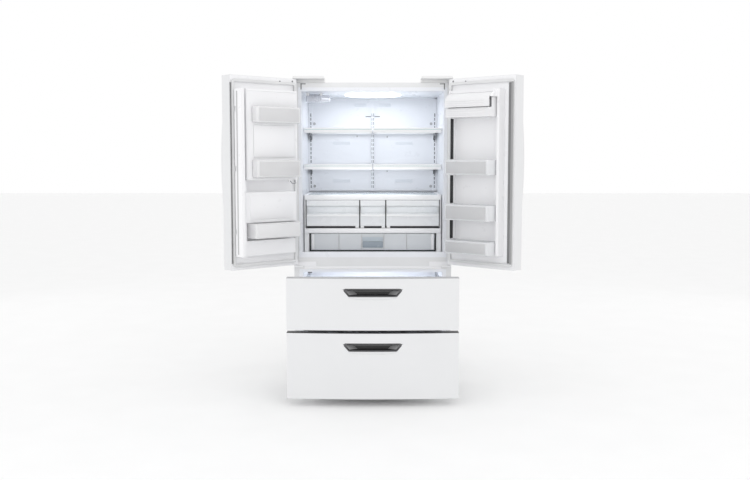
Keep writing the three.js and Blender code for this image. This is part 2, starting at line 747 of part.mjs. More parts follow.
function dispenserHousing() {
  const x = [dispenserX[0] + GAP, dispenserX[1] - GAP];
  const steps = 4;
  const points = [];
  for (let i = 0; i <= steps; i += 1) {
    const along = x[0] + (x[1] - x[0]) * (i / steps);
    points.push([along, frontAt(along) - bezelProud]);
  }
  points.push([x[1], dispenserBack - GAP], [x[0], dispenserBack - GAP]);
  const unit = raise(points, [dispenserZ[0] + GAP, dispenserZ[1] - GAP]);
  const alcove = block(
    [x[0] + alcoveWall, x[1] - alcoveWall], [-200, dispenserBack - 5], [dispenserZ[0] + 14, alcoveTop]);
  const [y, z] = paddleHinge;
  const lugs = [[paddleX[0] - lug - GAP, paddleX[0] - GAP], [paddleX[1] + GAP, paddleX[1] + GAP + lug]]
    .map((span) => block(span, [y - 8, y + 8], [z - 8, alcoveTop + 1]));
  return cut(join(cut(unit, alcove), ...lugs), bar('x', paddlePin + GAP, paddlePinSpan, y, z, 12));
}

// Paddle hung from two lugs under the alcove's roof.
function dispenserPaddle() {
  const [y, z] = paddleHinge;
  return join(
    block(paddleX, [y - 2, y + 2], [z - 96, z]),
    bar('x', paddlePin, [paddlePinSpan[0] + 1, paddlePinSpan[1] - 1], y, z, 12));
}

// Inner panel of the left door: the ice room's walls, the back of the dispenser, the ribs
// beside the bin and the pivots of the centre mullion.
const iceZ = [1189, dikeTop - 2];
const iceFree = doorWidth - 59;
const iceWall = 10;
const housingZ = [958, 1123];
const lowerPanelTop = 858;
const mullionPivot = [-32, 12];
const mullionBrackets = [900, 1240, 1560];
const mullionPin = 2.5;

function leftDoorLiner() {
  const dike = [doorInner - 1, dikeFront];
  const low = [doorInner - 1, dikeFront - 10];
  const iceRoom = cut(
    block(doorSpan(-1, dikeHinge, iceFree), dike, iceZ),
    block(doorSpan(-1, dikeHinge + iceWall, iceFree - iceWall), [doorInner, dikeFront + 1],
      [iceZ[0] + iceWall, iceZ[1] - iceWall]));
  let body = join(
    linerPlate(-1), iceRoom,
    block(doorSpan(-1, dikeHinge, iceFree), dike, housingZ),
    block(doorSpan(-1, dikeHinge, iceFree), low, [dikeBottom, lowerPanelTop]),
    block(doorSpan(-1, iceFree - 14, iceFree), low, [dikeBottom, iceZ[0] + 1]));
  const [px, py] = mullionPivot;
  for (const z of mullionBrackets) {
    body = join(
      body,
      block([px - 5, px + 5], [doorInner - 1, py + 4.5], [z, z + 24]),
      bar('z', mullionPin, [z - 8, z + 32], px, py, 12));
  }
  return body;
}

// The centre mullion closes the gap between the doors when they are shut, and folds flat
// beside the left door's inner panel when that door is open.
const mullionX = [-38, 29];
const mullionY = [GAP, 18 + GAP];

function mullion() {
  const [px, py] = mullionPivot;
  let body = block(mullionX, mullionY, [dikeBottom, dikeTop - 4]);
  for (const z of mullionBrackets) {
    body = cut(
      body,
      block([mullionX[0] - 1, px + 8.5], [mullionY[0] - 1, mullionY[1] + 1], [z - 1, z + 25]),
      bar('z', mullionPin + GAP, [z - 10, z + 34], px, py, 12));
  }
  return body;
}

const iceDoorY = [dikeFront + 1, dikeFront + 14];
const iceDoorPivot = [-(halfWidth - iceFree) - 2, dikeFront + 7];

const iceRecess = [1310, 1488];
const latchX = doorSpan(-1, dikeHinge + 12, dikeHinge + 52);
const latchEar = 5;
const latchPin = [iceDoorY[1] - 5, iceZ[0] - 8];
const latchRadius = 3;

// Door of the ice room, with a shallow recess between its bins and two ears for the latch.
function iceRoomDoor() {
  const panel = block(doorSpan(-1, dikeHinge, iceFree), iceDoorY, iceZ);
  const recess = block(doorSpan(-1, dikeHinge + 14, iceFree - 14), [iceDoorY[1] - 2, iceDoorY[1] + 1], iceRecess);
  const [y, z] = latchPin;
  const ears = [[latchX[0] - latchEar, latchX[0]], [latchX[1], latchX[1] + latchEar]]
    .map((span) => block(span, [y - 6, iceDoorY[1] - 1], [z - 6, iceZ[0] + 1]));
  const bore = bar('x', latchRadius + GAP, [latchX[0] - 4, latchX[1] + 4], y, z, 12);
  return cut(join(panel, ...ears), recess, bore);
}

// Latch of the ice room door: a small lever on a level pin under the door's edge.
function iceLatch() {
  const [y, z] = latchPin;
  return join(
    bar('x', latchRadius, [latchX[0] - 3, latchX[1] + 3], y, z, 12),
    block([latchX[0] + GAP, latchX[1] - GAP], [y, y + 15], [z - 3, z + 2.5]),
    block([latchX[0] + 8, latchX[1] - 8], [y + 9, y + 14], [z - 16, z]));
}

const door = doors.left;
add(door, 'left_door_shell', leftDoorShell(), WHITE_STEEL);
add(door, 'left_door_liner', leftDoorLiner(), WHITE_PLASTIC);
add(door, 'dispenser_housing', dispenserHousing(), GREY_PLASTIC);
const paddlePivot = hinged(door, 'paddle_hinge', [0, ...paddleHinge], ALONG_X, 0);
add(paddlePivot, 'dispenser_paddle', dispenserPaddle(), DARK_PLASTIC);
add(door, 'left_bin_lower', doorBin(-1, dikeHinge + 5, iceFree - 15, 18,
  [doorInner + GAP, doorInner + binDepth], [872, 955]), WHITE_PLASTIC);
add(door, 'ice_bin', openBox(doorSpan(-1, dikeHinge + 18, iceFree - 18), [doorInner + 1, dikeFront - 2],
  [iceZ[0] + 16, 1570], plastic), CLEAR_PLASTIC);
const iceDoor = hinged(door, 'ice_door_hinge', [...iceDoorPivot, 0], UPRIGHT, 0);
const iceBinY = [iceDoorY[1] + GAP, doorInner + binDepth + 4];
const iceBinEnds = [dikeHinge + 8, iceFree - 31];
const iceBins = { upper: [1500, 1586], lower: [1205, 1298] };
add(iceDoor, 'ice_room_door', iceRoomDoor(), WHITE_PLASTIC);
for (const [word, z] of Object.entries(iceBins)) {
  add(iceDoor, `ice_door_bin_${word}`, doorBin(-1, ...iceBinEnds, 12, iceBinY, z), CLEAR_PLASTIC);
}
const latchPivot = hinged(iceDoor, 'latch_hinge', [0, ...latchPin], ALONG_X, 0);
add(latchPivot, 'ice_latch', iceLatch(), GREY_PLASTIC);
const mullionFold = hinged(door, 'mullion_hinge', [...mullionPivot, 0], UPRIGHT, 90);
add(mullionFold, 'mullion', mullion(), GREY_PLASTIC);

// ---------------------------------------------------------------- right door

const ribWidth = 16;

const dairyZ = [dikeTop - 150, dikeTop - 46];
const dairyLidPivot = [dikeFront + 6, dikeTop - ribWidth - 4];
const dairyLidSpan = [dikeHinge + 8, dikeFree - ribWidth - 20];
const dairyEar = 5;
const dairyPin = 2.5;

// Inner panel of the right door: raised ribs round the space where the baskets hang, and two
// ears that carry the dairy lid.
function rightDoorLiner() {
  const high = [doorInner - 1, dikeFront];
  const low = [doorInner - 1, doorInner + 22];
  const [y, z] = dairyLidPivot;
  const [near, far] = dairyLidSpan;
  const ears = [[near - 1 - dairyEar, near - 1], [far + 1, far + 1 + dairyEar]]
    .map((span) => block(doorSpan(1, ...span), [doorInner, y + 6], [z - 6, dikeTop - 1]));
  const body = join(
    linerPlate(1),
    block(doorSpan(1, dikeFree - ribWidth, dikeFree), high, [dikeBottom, dikeTop]),
    block(doorSpan(1, dikeHinge, dikeFree), high, [dikeTop - ribWidth, dikeTop]),
    block(doorSpan(1, dikeHinge, dikeHinge + 4), low, [dikeBottom, dikeTop]),
    ...ears);
  return cut(body, bar('x', dairyPin + GAP, doorSpan(1, near - 5, far + 5), y, z, 12));
}

// Dairy bin: its front is lower than its sides, and the lid closes the rest.
function dairyBin() {
  const y = [doorInner + GAP, doorInner + binDepth - 8];
  const bin = doorBin(1, dikeHinge + 5, dikeFree - ribWidth - 1, 18, y, dairyZ);
  return cut(bin, block([0, halfWidth], [y[1] - 20, y[1] + 1], [dairyZ[0] + 50, dairyZ[1] + 1]));
}

// Dairy lid: a sloping top with a front skirt, hinged along its back edge.
function dairyLid() {
  const [y, z] = dairyLidPivot;
  const front = doorInner + binDepth;
  const outline = [
    [y - 3, z - 3], [front - 4, z - 14], [front - 4, dairyZ[0] + 54], [front, dairyZ[0] + 54],
    [front, z - 9], [y + 2, z + 3], [y - 3, z + 3]];
  const [near, far] = dairyLidSpan;
  return join(
    drawAcross(outline, doorSpan(1, near, far)),
    bar('x', dairyPin, doorSpan(1, near - 4, far + 4), y, z, 12));
}

const right = doors.right;
add(right, 'right_door_shell', doorSlab(1, [doorBottom, doorTop]), WHITE_STEEL);
add(right, 'right_door_liner', rightDoorLiner(), WHITE_PLASTIC);
add(right, 'dairy_bin', dairyBin(), CLEAR_PLASTIC);
const lidPivot = hinged(right, 'dairy_lid_hinge', [0, ...dairyLidPivot], ALONG_X, 0);
add(lidPivot, 'dairy_lid', dairyLid(), CLEAR_PLASTIC);
const basketLevels = [['upper', [1216, 1298]], ['middle', [964, 1052]], ['lower', [dikeBottom + 2, 852]]];
for (const [word, z] of basketLevels) {
  add(right, `right_basket_${word}`, doorBin(1, dikeHinge + 5, dikeFree - ribWidth - 1, 18,
    [doorInner + GAP, doorInner + binDepth], z), CLEAR_PLASTIC);
}

// ---------------------------------------------------------------- freezer drawers

const pocketTopHalf = 157;
const pocketBottomHalf = 125;
const pocketHeight = 37;
const pocketDrop = 55;              // drawer's top edge to the pocket's top
const pocketDepth = 34;

// A drawer front: bowed like the doors, with a tapered pocket to pull it by.
function drawerFront([bottom, top]) {
  const steps = 12;
  const points = [];
  for (let i = 0; i <= steps; i += 1) {
    const x = -halfWidth + caseWidth * (i / steps);
    points.push([x, frontAt(x)]);
  }
  points.push([halfWidth, doorInner], [-halfWidth, doorInner]);
  const pocketTop = top - pocketDrop;
  const pocket = drawBack(shapeOf([
    [-pocketTopHalf, pocketTop], [-pocketBottomHalf, pocketTop - pocketHeight],
    [pocketBottomHalf, pocketTop - pocketHeight], [pocketTopHalf, pocketTop],
  ]), [-200, -frontAtCentre + pocketDepth]);
  return cut(raise(points, [bottom, top]), pocket);
}

const slideOuter = freezerHalf - 3;
const slideInner = slideOuter - 16;
const slideHeight = 40;

// A pair of drawer slides with the cross bar that keeps them in step.
function drawerSlides(z, length) {
  const rails = [-1, 1].map((side) => join(
    block(sideSpan(side, slideInner, slideOuter), [doorInner + GAP, length], [z, z + slideHeight]),
    block(sideSpan(side, slideInner, slideOuter), [doorInner + GAP, doorInner + 6], [z - 40, z + slideHeight + 20])));
  const crossBar = block([-slideOuter, slideOuter], [length - 12, length], [z, z + 24]);
  return join(...rails, crossBar);
}

const basketHalf = slideInner - 3;

function drawerBasket(z, length) {
  return openBox([-basketHalf, basketHalf], [10, length - 16], z, plastic);
}

const drawers = [
  { word: 'upper', front: [upperDrawerBottom, drawerTop], basket: [432, 600], slides: 552, depth: upperFreezerDepth },
  { word: 'lower', front: [lowerDrawerBottom, lowerDrawerTop], basket: [112, 350], slides: 250, depth: lowerFreezerDepth },
];
const basketLength = 470;

for (const { word, front, basket, slides, depth } of drawers) {
  const pieces = pulled(cabinet, `${word}_drawer_slide`, drawerTravel);
  add(pieces, `${word}_drawer_front`, drawerFront(front), WHITE_STEEL);
  add(pieces, `${word}_drawer_basket`, drawerBasket(basket, basketLength), WHITE_PLASTIC);
  add(pieces, `${word}_drawer_slides`, drawerSlides(slides, depth - 10), ZINC);
}

// ---------------------------------------------------------------- origin

// The origin is under the middle of the whole object as it stands, doors and drawers open.
root.position.y = (frontAtCentre + drawerTravel - caseDepth) / 2;

export default root;
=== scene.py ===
# Looks of the french door refrigerator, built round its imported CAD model, in metres.
# Pieces on a door or drawer are drawn in the shut frame, where the doors and drawers are closed,
# and a matrix for each joint then carries them to the open pose that the model rests in.

import json
import math

import bmesh
import bpy
from mathutils import Matrix, Vector


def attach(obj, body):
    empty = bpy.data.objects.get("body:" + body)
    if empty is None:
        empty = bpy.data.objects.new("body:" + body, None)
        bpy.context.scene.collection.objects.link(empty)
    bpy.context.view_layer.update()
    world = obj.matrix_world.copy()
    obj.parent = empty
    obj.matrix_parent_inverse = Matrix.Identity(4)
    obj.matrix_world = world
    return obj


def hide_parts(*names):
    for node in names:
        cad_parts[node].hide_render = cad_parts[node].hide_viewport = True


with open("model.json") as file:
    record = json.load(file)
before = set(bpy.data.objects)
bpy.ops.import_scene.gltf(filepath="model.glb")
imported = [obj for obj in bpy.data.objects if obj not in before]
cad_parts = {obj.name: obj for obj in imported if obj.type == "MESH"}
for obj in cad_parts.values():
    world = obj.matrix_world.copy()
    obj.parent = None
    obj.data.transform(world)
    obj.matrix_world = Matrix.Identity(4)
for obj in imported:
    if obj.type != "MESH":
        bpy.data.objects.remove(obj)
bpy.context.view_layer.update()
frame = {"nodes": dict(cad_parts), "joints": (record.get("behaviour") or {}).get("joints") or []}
nodes = frame["nodes"]
joints = {joint["name"]: joint for joint in frame["joints"]}
MM = 0.001

# ------------------------------------------------------------------ places


def opened(joint_name):
    """The matrix that carries something drawn shut to where its joint rests."""
    joint = joints[joint_name]
    axis = Vector(joint["axis"])
    if joint["type"] == "slide":
        return Matrix.Translation(axis * -joint["range_m"][0])
    pivot = Matrix.Translation(Vector(joint["pos_m"]))
    swing = Matrix.Rotation(math.radians(-joint["range_deg"][0]), 4, axis)
    return pivot @ swing @ pivot.inverted()


SHUT = Matrix.Identity(4)
LEFT = opened("left_door_hinge")
RIGHT = opened("right_door_hinge")
UPPER = opened("upper_drawer_slide")
LOWER = opened("lower_drawer_slide")

# The matrix that goes with each body whose pieces are drawn shut.
place_of = {
    "left_door": LEFT, "ice_door": LEFT, "latch": LEFT, "mullion_flap": LEFT,
    "right_door": RIGHT, "lid": RIGHT, "upper_drawer": UPPER, "lower_drawer": LOWER,
}


def shut_box(node, place=SHUT):
    """Lowest and highest corner of a CAD node, measured in the shut frame."""
    back = place.inverted()
    points = [back @ vertex.co for vertex in nodes[node].data.vertices]
    low = Vector([min(point[axis] for point in points) for axis in range(3)])
    high = Vector([max(point[axis] for point in points) for axis in range(3)])
    return low, high


case_low, case_high = shut_box("outer_case")
front_y = case_low.y                       # plane of the cabinet's front flange
duct_low, duct_high = shut_box("air_duct_cover")

# ------------------------------------------------------------------ materials


def ramp(tree, source, low, high, span=(0.3, 0.7)):
    """A value between low and high that follows a noise output."""
    node = tree.nodes.new("ShaderNodeMapRange")
    node.inputs["From Min"].default_value = span[0]
    node.inputs["From Max"].default_value = span[1]
    node.inputs["To Min"].default_value = low
    node.inputs["To Max"].default_value = high
    tree.links.new(source, node.inputs["Value"])
    return node.outputs["Result"]


def noise(tree, coordinates, scale, detail=3.0, stretch=(1, 1, 1)):
    mapping = tree.nodes.new("ShaderNodeMapping")
    mapping.inputs["Scale"].default_value = stretch
    tree.links.new(coordinates, mapping.inputs["Vector"])
    node = tree.nodes.new("ShaderNodeTexNoise")
    node.inputs["Scale"].default_value = scale
    node.inputs["Detail"].default_value = detail
    tree.links.new(mapping.outputs["Vector"], node.inputs["Vector"])
    return node.outputs["Fac"]


def surface(name, colour, roughness, metallic=0.0, spread=0.05, shade=0.03, grain=900, bump=0.02,
            depth=0.0002, stretch=(1, 1, 1), coat=0.0, alpha=1.0, wear=0.0, glow=0.0):
    """A painted, moulded, rubber or metal surface: colour drift, roughness drift and a fine bump."""
    material = bpy.data.materials.new(name)
    material.use_nodes = True
    tree = material.node_tree
    shader = tree.nodes["Principled BSDF"]
    coordinates = tree.nodes.new("ShaderNodeTexCoord").outputs["Object"]
    drift = noise(tree, coordinates, 3.5, 4.0)
    mix = tree.nodes.new("ShaderNodeMix")
    mix.data_type = "RGBA"
    mix.inputs["A"].default_value = (*[c * (1 - shade) for c in colour], 1)
    mix.inputs["B"].default_value = (*[min(1, c * (1 + shade * 0.6)) for c in colour], 1)
    tree.links.new(ramp(tree, drift, 0, 1), mix.inputs["Factor"])
    base = mix.outputs["Result"]
    if wear:
        smudge = noise(tree, coordinates, 14, 6.0)
        worn = tree.nodes.new("ShaderNodeMix")
        worn.data_type = "RGBA"
        worn.inputs["B"].default_value = (*[c * (1 - wear) for c in colour], 1)
        tree.links.new(base, worn.inputs["A"])
        tree.links.new(ramp(tree, smudge, 0, 0.6, (0.55, 0.8)), worn.inputs["Factor"])
        base = worn.outputs["Result"]
    tree.links.new(base, shader.inputs["Base Color"])
    patch = noise(tree, coordinates, 22, 5.0, stretch)
    tree.links.new(
        ramp(tree, patch, max(0.02, roughness - spread), roughness + spread), shader.inputs["Roughness"])
    fine = noise(tree, coordinates, grain, 2.0, stretch)
    relief = tree.nodes.new("ShaderNodeBump")
    relief.inputs["Strength"].default_value = bump
    relief.inputs["Distance"].default_value = depth
    tree.links.new(fine, relief.inputs["Height"])
    tree.links.new(relief.outputs["Normal"], shader.inputs["Normal"])
    shader.inputs["Metallic"].default_value = metallic
    shader.inputs["Coat Weight"].default_value = coat
    shader.inputs["Coat Roughness"].default_value = 0.08
    shader.inputs["Alpha"].default_value = alpha
    if glow:
        shader.inputs["Emission Color"].default_value = (0.90, 0.96, 1.0, 1)
        shader.inputs["Emission Strength"].default_value = glow
    return material


WHITE_STEEL = surface("white_enamel", (0.77, 0.775, 0.785), 0.30, spread=0.02, shade=0.012, coat=0.2,
                      bump=0.06, grain=420)
CASE_PAINT = surface("case_paint", (0.80, 0.805, 0.812), 0.42, bump=0.16, spread=0.03, wear=0.015)
LINER = surface("liner_abs", (0.865, 0.88, 0.92), 0.30, bump=0.05, grain=300, shade=0.01, spread=0.03)
DOOR_LINER = surface("door_liner_abs", (0.91, 0.91, 0.925), 0.30, bump=0.05, grain=300, shade=0.01,
                     spread=0.03)
WHITE_PLASTIC = surface("white_plastic", (0.91, 0.915, 0.925), 0.33, bump=0.06, grain=700)
COVER_PLASTIC = surface("cover_plastic", (0.80, 0.80, 0.80), 0.40, bump=0.15, grain=1300)
GREY_PLASTIC = surface("grey_plastic", (0.36, 0.37, 0.39), 0.45, bump=0.2, grain=1500, shade=0.06)
MULLION_GREY = surface("mullion_grey", (0.48, 0.48, 0.49), 0.40, bump=0.12, grain=1200, shade=0.05)
DARK_PLASTIC = surface("dark_plastic", (0.018, 0.019, 0.021), 0.38, bump=0.2, grain=1500, shade=0.1)
RUBBER = surface("gasket_rubber", (0.74, 0.745, 0.75), 0.62, bump=0.2, grain=800, shade=0.06)
DARK_RUBBER = surface("roller_rubber", (0.04, 0.04, 0.042), 0.7, bump=0.3, shade=0.1)
ZINC = surface("zinc_plate", (0.56, 0.58, 0.60), 0.34, metallic=0.9, spread=0.12, shade=0.10, bump=0.15,
               grain=260, stretch=(1, 1, 6))
BLACK_STEEL = surface("black_steel", (0.015, 0.015, 0.017), 0.42, bump=0.2, grain=700, shade=0.15)
FOAM = surface("foam", (0.62, 0.55, 0.36), 0.9, bump=0.7, grain=240, shade=0.12, depth=0.001)
COPPER = surface("copper_pipe", (0.62, 0.30, 0.16), 0.3, metallic=1.0, spread=0.1, shade=0.15, bump=0.1)
CLEAR = surface("clear_plastic", (0.95, 0.95, 0.96), 0.12, alpha=0.24, bump=0.03, grain=120, shade=0.02)
FROSTED = surface("frosted_plastic", (0.92, 0.93, 0.95), 0.32, alpha=0.60, bump=0.06, grain=160, shade=0.02)
SMOKED = surface("smoked_clear", (0.71, 0.71, 0.72), 0.16, alpha=0.50, bump=0.04, grain=120, shade=0.04)
GLASS = surface("shelf_glass", (0.80, 0.90, 0.92), 0.05, alpha=0.12, bump=0.01, grain=60, shade=0.02)
GLASS_EDGE = surface("glass_edge", (0.34, 0.60, 0.58), 0.18, alpha=0.85, bump=0.02, grain=60)
LAMP = surface("lamp_lens", (0.95, 0.97, 1.0), 0.3, bump=0.1, grain=140, glow=1.6)
GLASS_PANE = surface("cover_glass", (0.66, 0.78, 0.84), 0.08, alpha=0.4, bump=0.01, grain=60)
SMOKED_BLUE = surface("smoked_blue", (0.90, 0.93, 0.96), 0.14, alpha=0.60, bump=0.03, grain=120, shade=0.04)
HANDLE_LIGHT = surface("handle_light", (0.52, 0.58, 0.63), 0.25, alpha=0.9, bump=0.05, grain=300, shade=0.05)
HANDLE_BLUE = surface("handle_blue", (0.33, 0.38, 0.43), 0.25, alpha=0.92, bump=0.05, grain=300, shade=0.05)
# Dark plastic deepened with painted shade of the handle pocket, for the cup's well and back.
CUP_WELL_SHADE = surface("cup_dark", (0.030, 0.030, 0.031), 0.5, bump=0.15, shade=0.1)
# A touch darker and bluer than the crisper white: painted shade in the crisper's finger recess.
CRISPER_RECESS_SHADE = surface("crisper_band", (0.90, 0.93, 0.96), 0.30, alpha=0.9, bump=0.05, grain=160)
CRISPER_WHITE = surface("crisper_white", (0.93, 0.95, 0.97), 0.25, alpha=0.88, bump=0.04, grain=200,
                        shade=0.01)
DAIRY_WHITE = surface("dairy_white", (0.94, 0.94, 0.955), 0.22, alpha=0.86, bump=0.03, grain=200, shade=0.01)
# Painted shadow for the channels beside the door seals; also the colour of the dark corner marks.
CHANNEL_GREY = surface("channel_grey", (0.22, 0.22, 0.225), 0.6, bump=0.2, shade=0.05)
# Seal rubber in painted shade, for the right door seal's free run.
SHADED_SEAL_GREY = surface("seal_face", (0.36, 0.36, 0.365), 0.6, bump=0.2, grain=800, shade=0.05)
STRIP_GREY = surface("mullion_strip", (0.52, 0.52, 0.53), 0.35, bump=0.1, grain=700, shade=0.03)
CUP_END = surface("cup_bezel", (0.10, 0.10, 0.105), 0.32, bump=0.1, shade=0.05)
# Paler grey: painted light on the cup's slanted ends.
CUP_RAMP_LIGHT = surface("cup_ramp", (0.24, 0.24, 0.245), 0.30, bump=0.1, shade=0.05)
CUP_CEILING = surface("cup_ceiling", (0.11, 0.11, 0.112), 0.40, bump=0.1, shade=0.05)
BIN_WHITE = surface("bin_white", (0.95, 0.95, 0.96), 0.22, alpha=0.72, bump=0.03, grain=160, shade=0.01)
BIN_WINDOW = surface("bin_window", (0.84, 0.84, 0.85), 0.14, alpha=0.66, bump=0.03, grain=160, shade=0.02)
VENT_GREY = surface("vent_grey", (0.79, 0.825, 0.865), 0.4, bump=0.1, shade=0.02)
FILTER_GREY = surface("filter_grey", (0.70, 0.72, 0.775), 0.35, bump=0.1, shade=0.03)
BRACKET_GREY = surface("bracket_grey", (0.16, 0.17, 0.18), 0.4, bump=0.2)
BLACK_GLASS = surface("black_glass", (0.008, 0.009, 0.011), 0.08, coat=0.8, bump=0.01, grain=80)

looks = {
    "outer_case": CASE_PAINT, "foam_core": FOAM, "fridge_liner": LINER, "freezer_liner": LINER,
    "base_frame": ZINC, "toe_grille": GREY_PLASTIC, "rear_cover": ZINC, "compressor": BLACK_STEEL,
    "condenser": BLACK_STEEL, "condenser_fan": DARK_PLASTIC, "air_duct_cover": LINER,
    "water_filter": GREY_PLASTIC, "crisper_frame": WHITE_PLASTIC, "lamp_lens": LAMP,
    "left_door_shell": WHITE_STEEL, "right_door_shell": WHITE_STEEL, "left_grip": WHITE_STEEL,
    "right_grip": WHITE_STEEL, "left_door_liner": DOOR_LINER, "right_door_liner": DOOR_LINER,
    "left_door_gasket": RUBBER, "right_door_gasket": RUBBER, "dispenser_housing": GREY_PLASTIC,
    "dispenser_paddle": DARK_PLASTIC, "left_bin_lower": WHITE_PLASTIC, "ice_bin": FROSTED,
    "ice_room_door": DOOR_LINER, "ice_latch": GREY_PLASTIC, "mullion": DOOR_LINER,
    "dairy_bin": DAIRY_WHITE, "dairy_lid": DAIRY_WHITE, "upper_drawer_front": WHITE_STEEL,
    "lower_drawer_front": WHITE_STEEL, "upper_drawer_basket": WHITE_PLASTIC,
    "lower_drawer_basket": WHITE_PLASTIC, "upper_drawer_slides": ZINC, "lower_drawer_slides": ZINC,
    "pantry_drawer": CLEAR,
}
for side in ("left", "right"):
    looks[f"leveling_leg_{side}"] = ZINC
    looks[f"rear_roller_{side}"] = DARK_RUBBER
    looks[f"top_hinge_{side}"] = ZINC
    looks[f"hinge_cover_{side}"] = COVER_PLASTIC
    looks[f"mid_hinge_{side}"] = DOOR_LINER
    for level in ("upper", "lower"):
        looks[f"shelf_{level}_{side}"] = GLASS
for name in ("crisper_left", "crisper_center", "crisper_right", "ice_door_bin_upper", "ice_door_bin_lower",
             "right_basket_upper", "right_basket_middle", "right_basket_lower"):
    looks[name] = CLEAR

# Edge rounding of the CAD nodes that stay, in millimetres.
rounding = {
    "left_door_shell": 2.5, "right_door_shell": 2.5, "upper_drawer_front": 2.5, "lower_drawer_front": 2.5,
    "left_door_liner": 3, "right_door_liner": 3, "hinge_cover_left": 2.5, "hinge_cover_right": 2.5,
    "left_grip": 2, "right_grip": 2, "mullion": 2, "ice_room_door": 2, "crisper_frame": 1.5,
    "fridge_liner": 1, "freezer_liner": 1, "outer_case": 0.8, "dispenser_housing": 1.2,
}


def soften(item, millimetres, segments=3):
    """Rounded edges and smooth shading, without touching the mesh's own points."""
    mesh = item.data
    mesh.polygons.foreach_set("use_smooth", [True] * len(mesh.polygons))
    mesh.set_sharp_from_angle(angle=math.radians(32))
    bevel = item.modifiers.new("rounded_edges", "BEVEL")
    bevel.width = millimetres * MM
    bevel.segments = segments
    bevel.limit_method = "ANGLE"
    bevel.angle_limit = math.radians(32)
    bevel.use_clamp_overlap = True
    bevel.harden_normals = True


for name, node in nodes.items():
    node.data.materials.clear()
    node.data.materials.append(looks[name])
    soften(node, rounding.get(name, 0.6), 3 if name in rounding else 2)

# ------------------------------------------------------------------ drawing pieces


def inset(points, distance):
    """A convex outline with every side moved inwards by a distance."""
    area = sum(a[0] * b[1] - b[0] * a[1] for a, b in zip(points, points[1:] + points[:1]))
    turn = 1 if area > 0 else -1
    count = len(points)
    moved = []
    for i, corner in enumerate(points):
        before = Vector(corner) - Vector(points[i - 1])
        after = Vector(points[(i + 1) % count]) - Vector(corner)
        side_a = Vector((-before.y, before.x)).normalized() * turn
        side_b = Vector((-after.y, after.x)).normalized() * turn
        middle = side_a + side_b
        moved.append(Vector(corner) + middle * (2 * distance / max(1e-9, middle.length_squared)))
    return moved


def rounded(points, radius, steps=5):
    """An outline with its corners turned into arcs."""
    count = len(points)
    result = []
    for i in range(count):
        corner = Vector(points[i])
        to_last = (Vector(points[i - 1]) - corner).normalized()
        to_next = (Vector(points[(i + 1) % count]) - corner).normalized()
        half = to_last.angle(to_next) / 2
        reach = radius / math.tan(half)
        start, end = corner + to_last * reach, corner + to_next * reach
        centre = corner + (to_last + to_next).normalized() * (radius / math.sin(half))
        for step in range(steps + 1):
            along = step / steps
            point = start.lerp(end, along) - centre
            result.append(centre + point.normalized() * radius)
    return result


def loft(form, rings, closed=False):
    """A skin through rings of points, with its two ends capped or joined to each other."""
    loops = [[form.verts.new(point) for point in ring] for ring in rings]
    pairs = list(zip(loops, loops[1:])) + ([(loops[-1], loops[0])] if closed else [])
    for lower, upper in pairs:
        for i in range(len(lower)):
            j = (i + 1) % len(lower)
            form.faces.new((lower[i], lower[j], upper[j], upper[i]))
    if not closed:
        form.faces.new(loops[0][::-1])
        form.faces.new(loops[-1])


def flat(points, z):
    return [Vector((point[0], point[1], z)) for point in points]


def piece(name, draw, material, body, instead_of=(), edge=0.0):
    """A named piece from a drawing function, carried from the shut frame to where its body rests."""
    form = bmesh.new()
    draw(form)
    bmesh.ops.recalc_face_normals(form, faces=form.faces)
    mesh = bpy.data.meshes.new(name)
    form.to_mesh(mesh)
    form.free()
    mesh.materials.append(material)
    mesh.transform(place_of.get(body, SHUT))
    item = bpy.data.objects.new(name, mesh)
    bpy.context.scene.collection.objects.link(item)
    soften(item, edge or 0.4, 3 if edge else 1)
    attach(item, body)
    if instead_of:
        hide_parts(*instead_of)


def slab(form, low, high, edge=0.0, segments=2):
    """A block with rounded edges between two corners."""
    made = bmesh.ops.create_cube(form, size=1.0)["verts"]
    size = Vector(high) - Vector(low)
    middle = (Vector(high) + Vector(low)) / 2
    bmesh.ops.scale(form, vec=size, verts=made)
    bmesh.ops.translate(form, vec=middle, verts=made)
    if edge:
        edges = list({line for vertex in made for line in vertex.link_edges})
        bmesh.ops.bevel(form, geom=edges, offset=edge, segments=segments, affect="EDGES", profile=0.5)


def blocks(*spans, edge=0.0):
    """A drawing function for several blocks, each given by its two corners."""
    def draw(form):
        for low, high in spans:
            slab(form, low, high, edge)
    return draw


def rod(form, points, radius, sides=12):
    """A round bar along a path."""
    rings = []
    for i, point in enumerate(points):
        point = Vector(point)
        back = Vector(points[max(0, i - 1)])
        ahead = Vector(points[min(len(points) - 1, i + 1)])
        along = (ahead - back).normalized()
        helper = Vector((0, 0, 1)) if abs(along.z) < 0.9 else Vector((1, 0, 0))
        u = along.cross(helper).normalized()
        v = along.cross(u)
        rings.append([
            point + (u * math.cos(a) + v * math.sin(a)) * radius
            for a in (2 * math.pi * k / sides for k in range(sides))])
    loft(form, rings)


def lathe(form, profile, centre, axis="z", sides=40):
    """A turned form from (radius, height) points about an axis through a centre."""
    rings = []
    for radius, height in profile:
        ring = []
        for k in range(sides):
            a = 2 * math.pi * k / sides
            c, s = radius * math.cos(a), radius * math.sin(a)
            offset = {"z": (c, s, height), "y": (c, height, s), "x": (height, c, s)}[axis]
            ring.append(Vector(centre) + Vector(offset))
        rings.append(ring)
    loft(form, rings)


